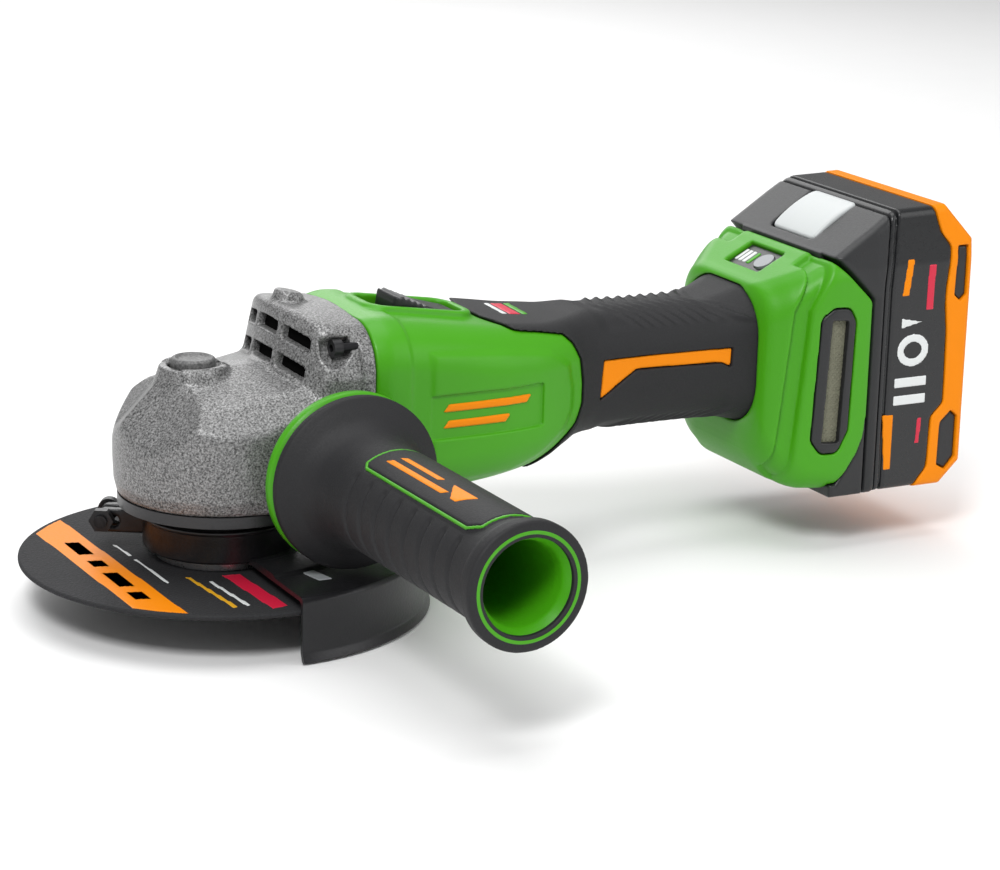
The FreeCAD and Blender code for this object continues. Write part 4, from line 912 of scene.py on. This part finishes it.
def side_handle():
    """The rubber grip, its open core tube, and the plain badge on top."""
    def rubber(x, y, z):
        radius, angle = handle_polar(x, z)
        along = -y
        grooved = ramp(along - 66, 5) * ramp(144 - along, 5)
        from_groove = ((along - 70) % GROOVE_PITCH) - GROOVE_PITCH / 2
        grooves = 0.8 * np.exp(-(from_groove / 0.9)**2) * grooved
        away = ramp(np.abs(angle) - 46, 6)
        solid = radius - curve(along, GRIP_RADIUS) + grooves * away
        solid = high_of(solid, band(along, 45.8, 156.4), 1.2)
        badge = badge_edge(along, angle)
        solid = low_of(solid, high_of(badge - 0.3, band(radius, 14.5, 17.3), 0.5), 0.4)
        line = high_of(np.abs(badge + 0.5) - 0.55, 16.5 - radius, 0.1)
        return cut_from(cut_from(solid, line, 0.2), high_of(radius - 14.0, 44 - along, 0.2), 0.3)
    piece = surface("handle_rubber", rubber, (-4, -157, 12.5), (52, -45, 69), FINE)
    settle(piece, RUBBER, "side_handle", ["handle_grip"])

    core = [(4.2, 39.8), (25.6, 39.8), (27.0, 41.0), (27.0, 43.6), (25.0, 45.0), (13.7, 45.4),
            (13.7, 150), (15.8, 153.5), (16.4, 155.8), (16.2, 156.5), (15.0, 156.5), (12.4, 152.5),
            (12.0, 149), (12.0, 72), (4.2, 72)]
    piece = turned("handle_core_tube", rounded_profile(core, 0.7, 3), (HANDLE_X, 0, HANDLE_Z), (0, -1, 0),
                   TURNS_HANDLE)
    settle(piece, GREEN, "side_handle", ["handle_core"])

    def outline(x, y, z):
        radius, angle = handle_polar(x, z)
        ring = high_of(np.abs(badge_edge(-y, angle) + 0.5) - 0.5, band(radius, 16.3, 17.25), 0.2)
        return high_of(ring, HANDLE_Z - z, 0.2)
    piece = surface("handle_badge_line", outline, (10, -147, 50), (38, -71, 59), SMALL)
    settle(piece, GREEN, "side_handle")

    def bars(x, y, z):
        radius, angle = handle_polar(x, z)
        across = (angle - 12) * MM_PER_DEGREE
        stripes = np.minimum(polygon(-y, across, [(82, 1.0), (117, 1.0), (115, 3.0), (80, 3.0)]),
                             polygon(-y, across, [(84, -3.0), (108, -3.0), (106, -1.0), (82, -1.0)]))
        wedge = polygon(-y, across, [(112, -3.0), (128, -3.0), (124, 3.0), (121, 3.0)])
        stripes = np.minimum(stripes, wedge)
        return high_of(high_of(stripes, band(radius, 16.6, 17.45), 0.1), HANDLE_Z - z, 0.1)
    piece = surface("handle_badge_bars", bars, (12, -132, 52), (32, -78, 59), SMALL)
    settle(piece, ORANGE, "side_handle", ["handle_badge"])


# ---------------------------------------------------------------- carried-over CAD pieces

# The CAD pieces that show as they are, by material.
CARRIED = {
    BLACK_STEEL: ["bearing_cover"],
    ZINC: ["spindle", "crown_gear", "lower_bearing_outer", "lower_bearing_inner", "needle_bearing",
           "inner_flange", "clamp_nut", "handle_stud", "spindle_lock_spring", "spindle_lock_pin",
           "rotor", "pinion", "rotor_front_bearing_outer", "rotor_front_bearing_inner",
           "rotor_rear_bearing_outer", "rotor_rear_bearing_inner", "release_spring"],
    DARK_STEEL: ["cover_screw_1", "cover_screw_2", "cover_screw_3", "cover_screw_4", "case_screw_1",
                 "case_screw_2", "guard_clamp_screw", "guard_clamp_nut"],
    BLACK: ["fan", "fan_baffle", "motor_bracket", "switch_slider", "switch_module", "terminal_block"],
    PANEL_BLACK: ["indicator_panel"],
    GREY_PRINT: ["speed_button"],
    GREEN: ["handle_washer"],
    COPPER: ["stator"],
    CELL: ["battery_cells"],
    BOARD: ["battery_board", "controller"],
}


def carried():
    """Give each CAD piece that is kept its material."""
    for material, names in CARRIED.items():
        for name in names:
            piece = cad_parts[name]
            piece.data.materials.clear()
            piece.data.materials.append(material)


# ---------------------------------------------------------------- stage

# The camera's place, the way it looks, the way up, its lens and its sensor's width.
CAMERA_AT = (-369.93, -862.30, 310.15)
CAMERA_FORWARD = (0.45973, 0.84604, -0.26996)
CAMERA_UP = (0.10460, 0.25028, 0.96251)
LENS, SENSOR_WIDTH = 112.9, 36
FLOOR_REACH, FLOOR_HEIGHT = 4000, -8.2
# Each light: its name, place, size and power.
LIGHTS = [
    ("key_light", (-700, -900, 1300), 500, 17.5),
    ("fill_light", (900, -900, 700), 900, 4.5),
    ("top_light", (100, 200, 1500), 1200, 12),
    ("rim_light", (300, 1200, 700), 900, 6),
]
LIGHTS_AIM = (100, 0, 40)
WORLD_STRENGTH = 0.38


def stage():
    """The camera, the pale floor, the lights and the white surroundings."""
    forward, up = Vector(CAMERA_FORWARD).normalized(), Vector(CAMERA_UP)
    right = forward.cross(up).normalized()
    up = right.cross(forward)
    camera = bpy.data.objects.new("camera", bpy.data.cameras.new("camera"))
    rotation = camera.matrix_world.to_3x3()
    for k in range(3):
        rotation[k] = (right[k], up[k], -forward[k])
    camera.matrix_world = rotation.to_4x4()
    camera.location = Vector(CAMERA_AT) * MM
    camera.data.lens = LENS
    camera.data.sensor_width = SENSOR_WIDTH
    bpy.context.scene.collection.objects.link(camera)
    bpy.context.scene.camera = camera
    reach, low = FLOOR_REACH, FLOOR_HEIGHT
    corners = [(-reach, -reach, low), (reach, -reach, low), (reach, reach, low), (-reach, reach, low)]
    floor = mesh_piece("floor", corners, [(0, 1, 2, 3)])
    pale = finish("pale_floor", linear("F2F2F2"), 0.8, grain=6, bump=0.02, mottle=0.01, wear=0)
    floor.data.materials.append(pale)
    for name, at, size, power in LIGHTS:
        lamp = bpy.data.objects.new(name, bpy.data.lights.new(name, "AREA"))
        lamp.data.size = size * MM
        lamp.data.energy = power
        lamp.location = Vector(at) * MM
        toward = Vector(LIGHTS_AIM) * MM - lamp.location
        lamp.rotation_euler = toward.to_track_quat("-Z", "Y").to_euler()
        bpy.context.scene.collection.objects.link(lamp)
    bpy.context.scene.view_settings.view_transform = "Standard"
    world = bpy.data.worlds.new("studio")
    world.use_nodes = True
    world.node_tree.nodes["Background"].inputs["Color"].default_value = (1, 1, 1, 1)
    world.node_tree.nodes["Background"].inputs["Strength"].default_value = WORLD_STRENGTH
    bpy.context.scene.world = world


for make in (gear_case, lock_button, housing, grip, adapter, battery, release_button, switch_knob, guard,
             disc, side_handle, carried, stage):
    make()
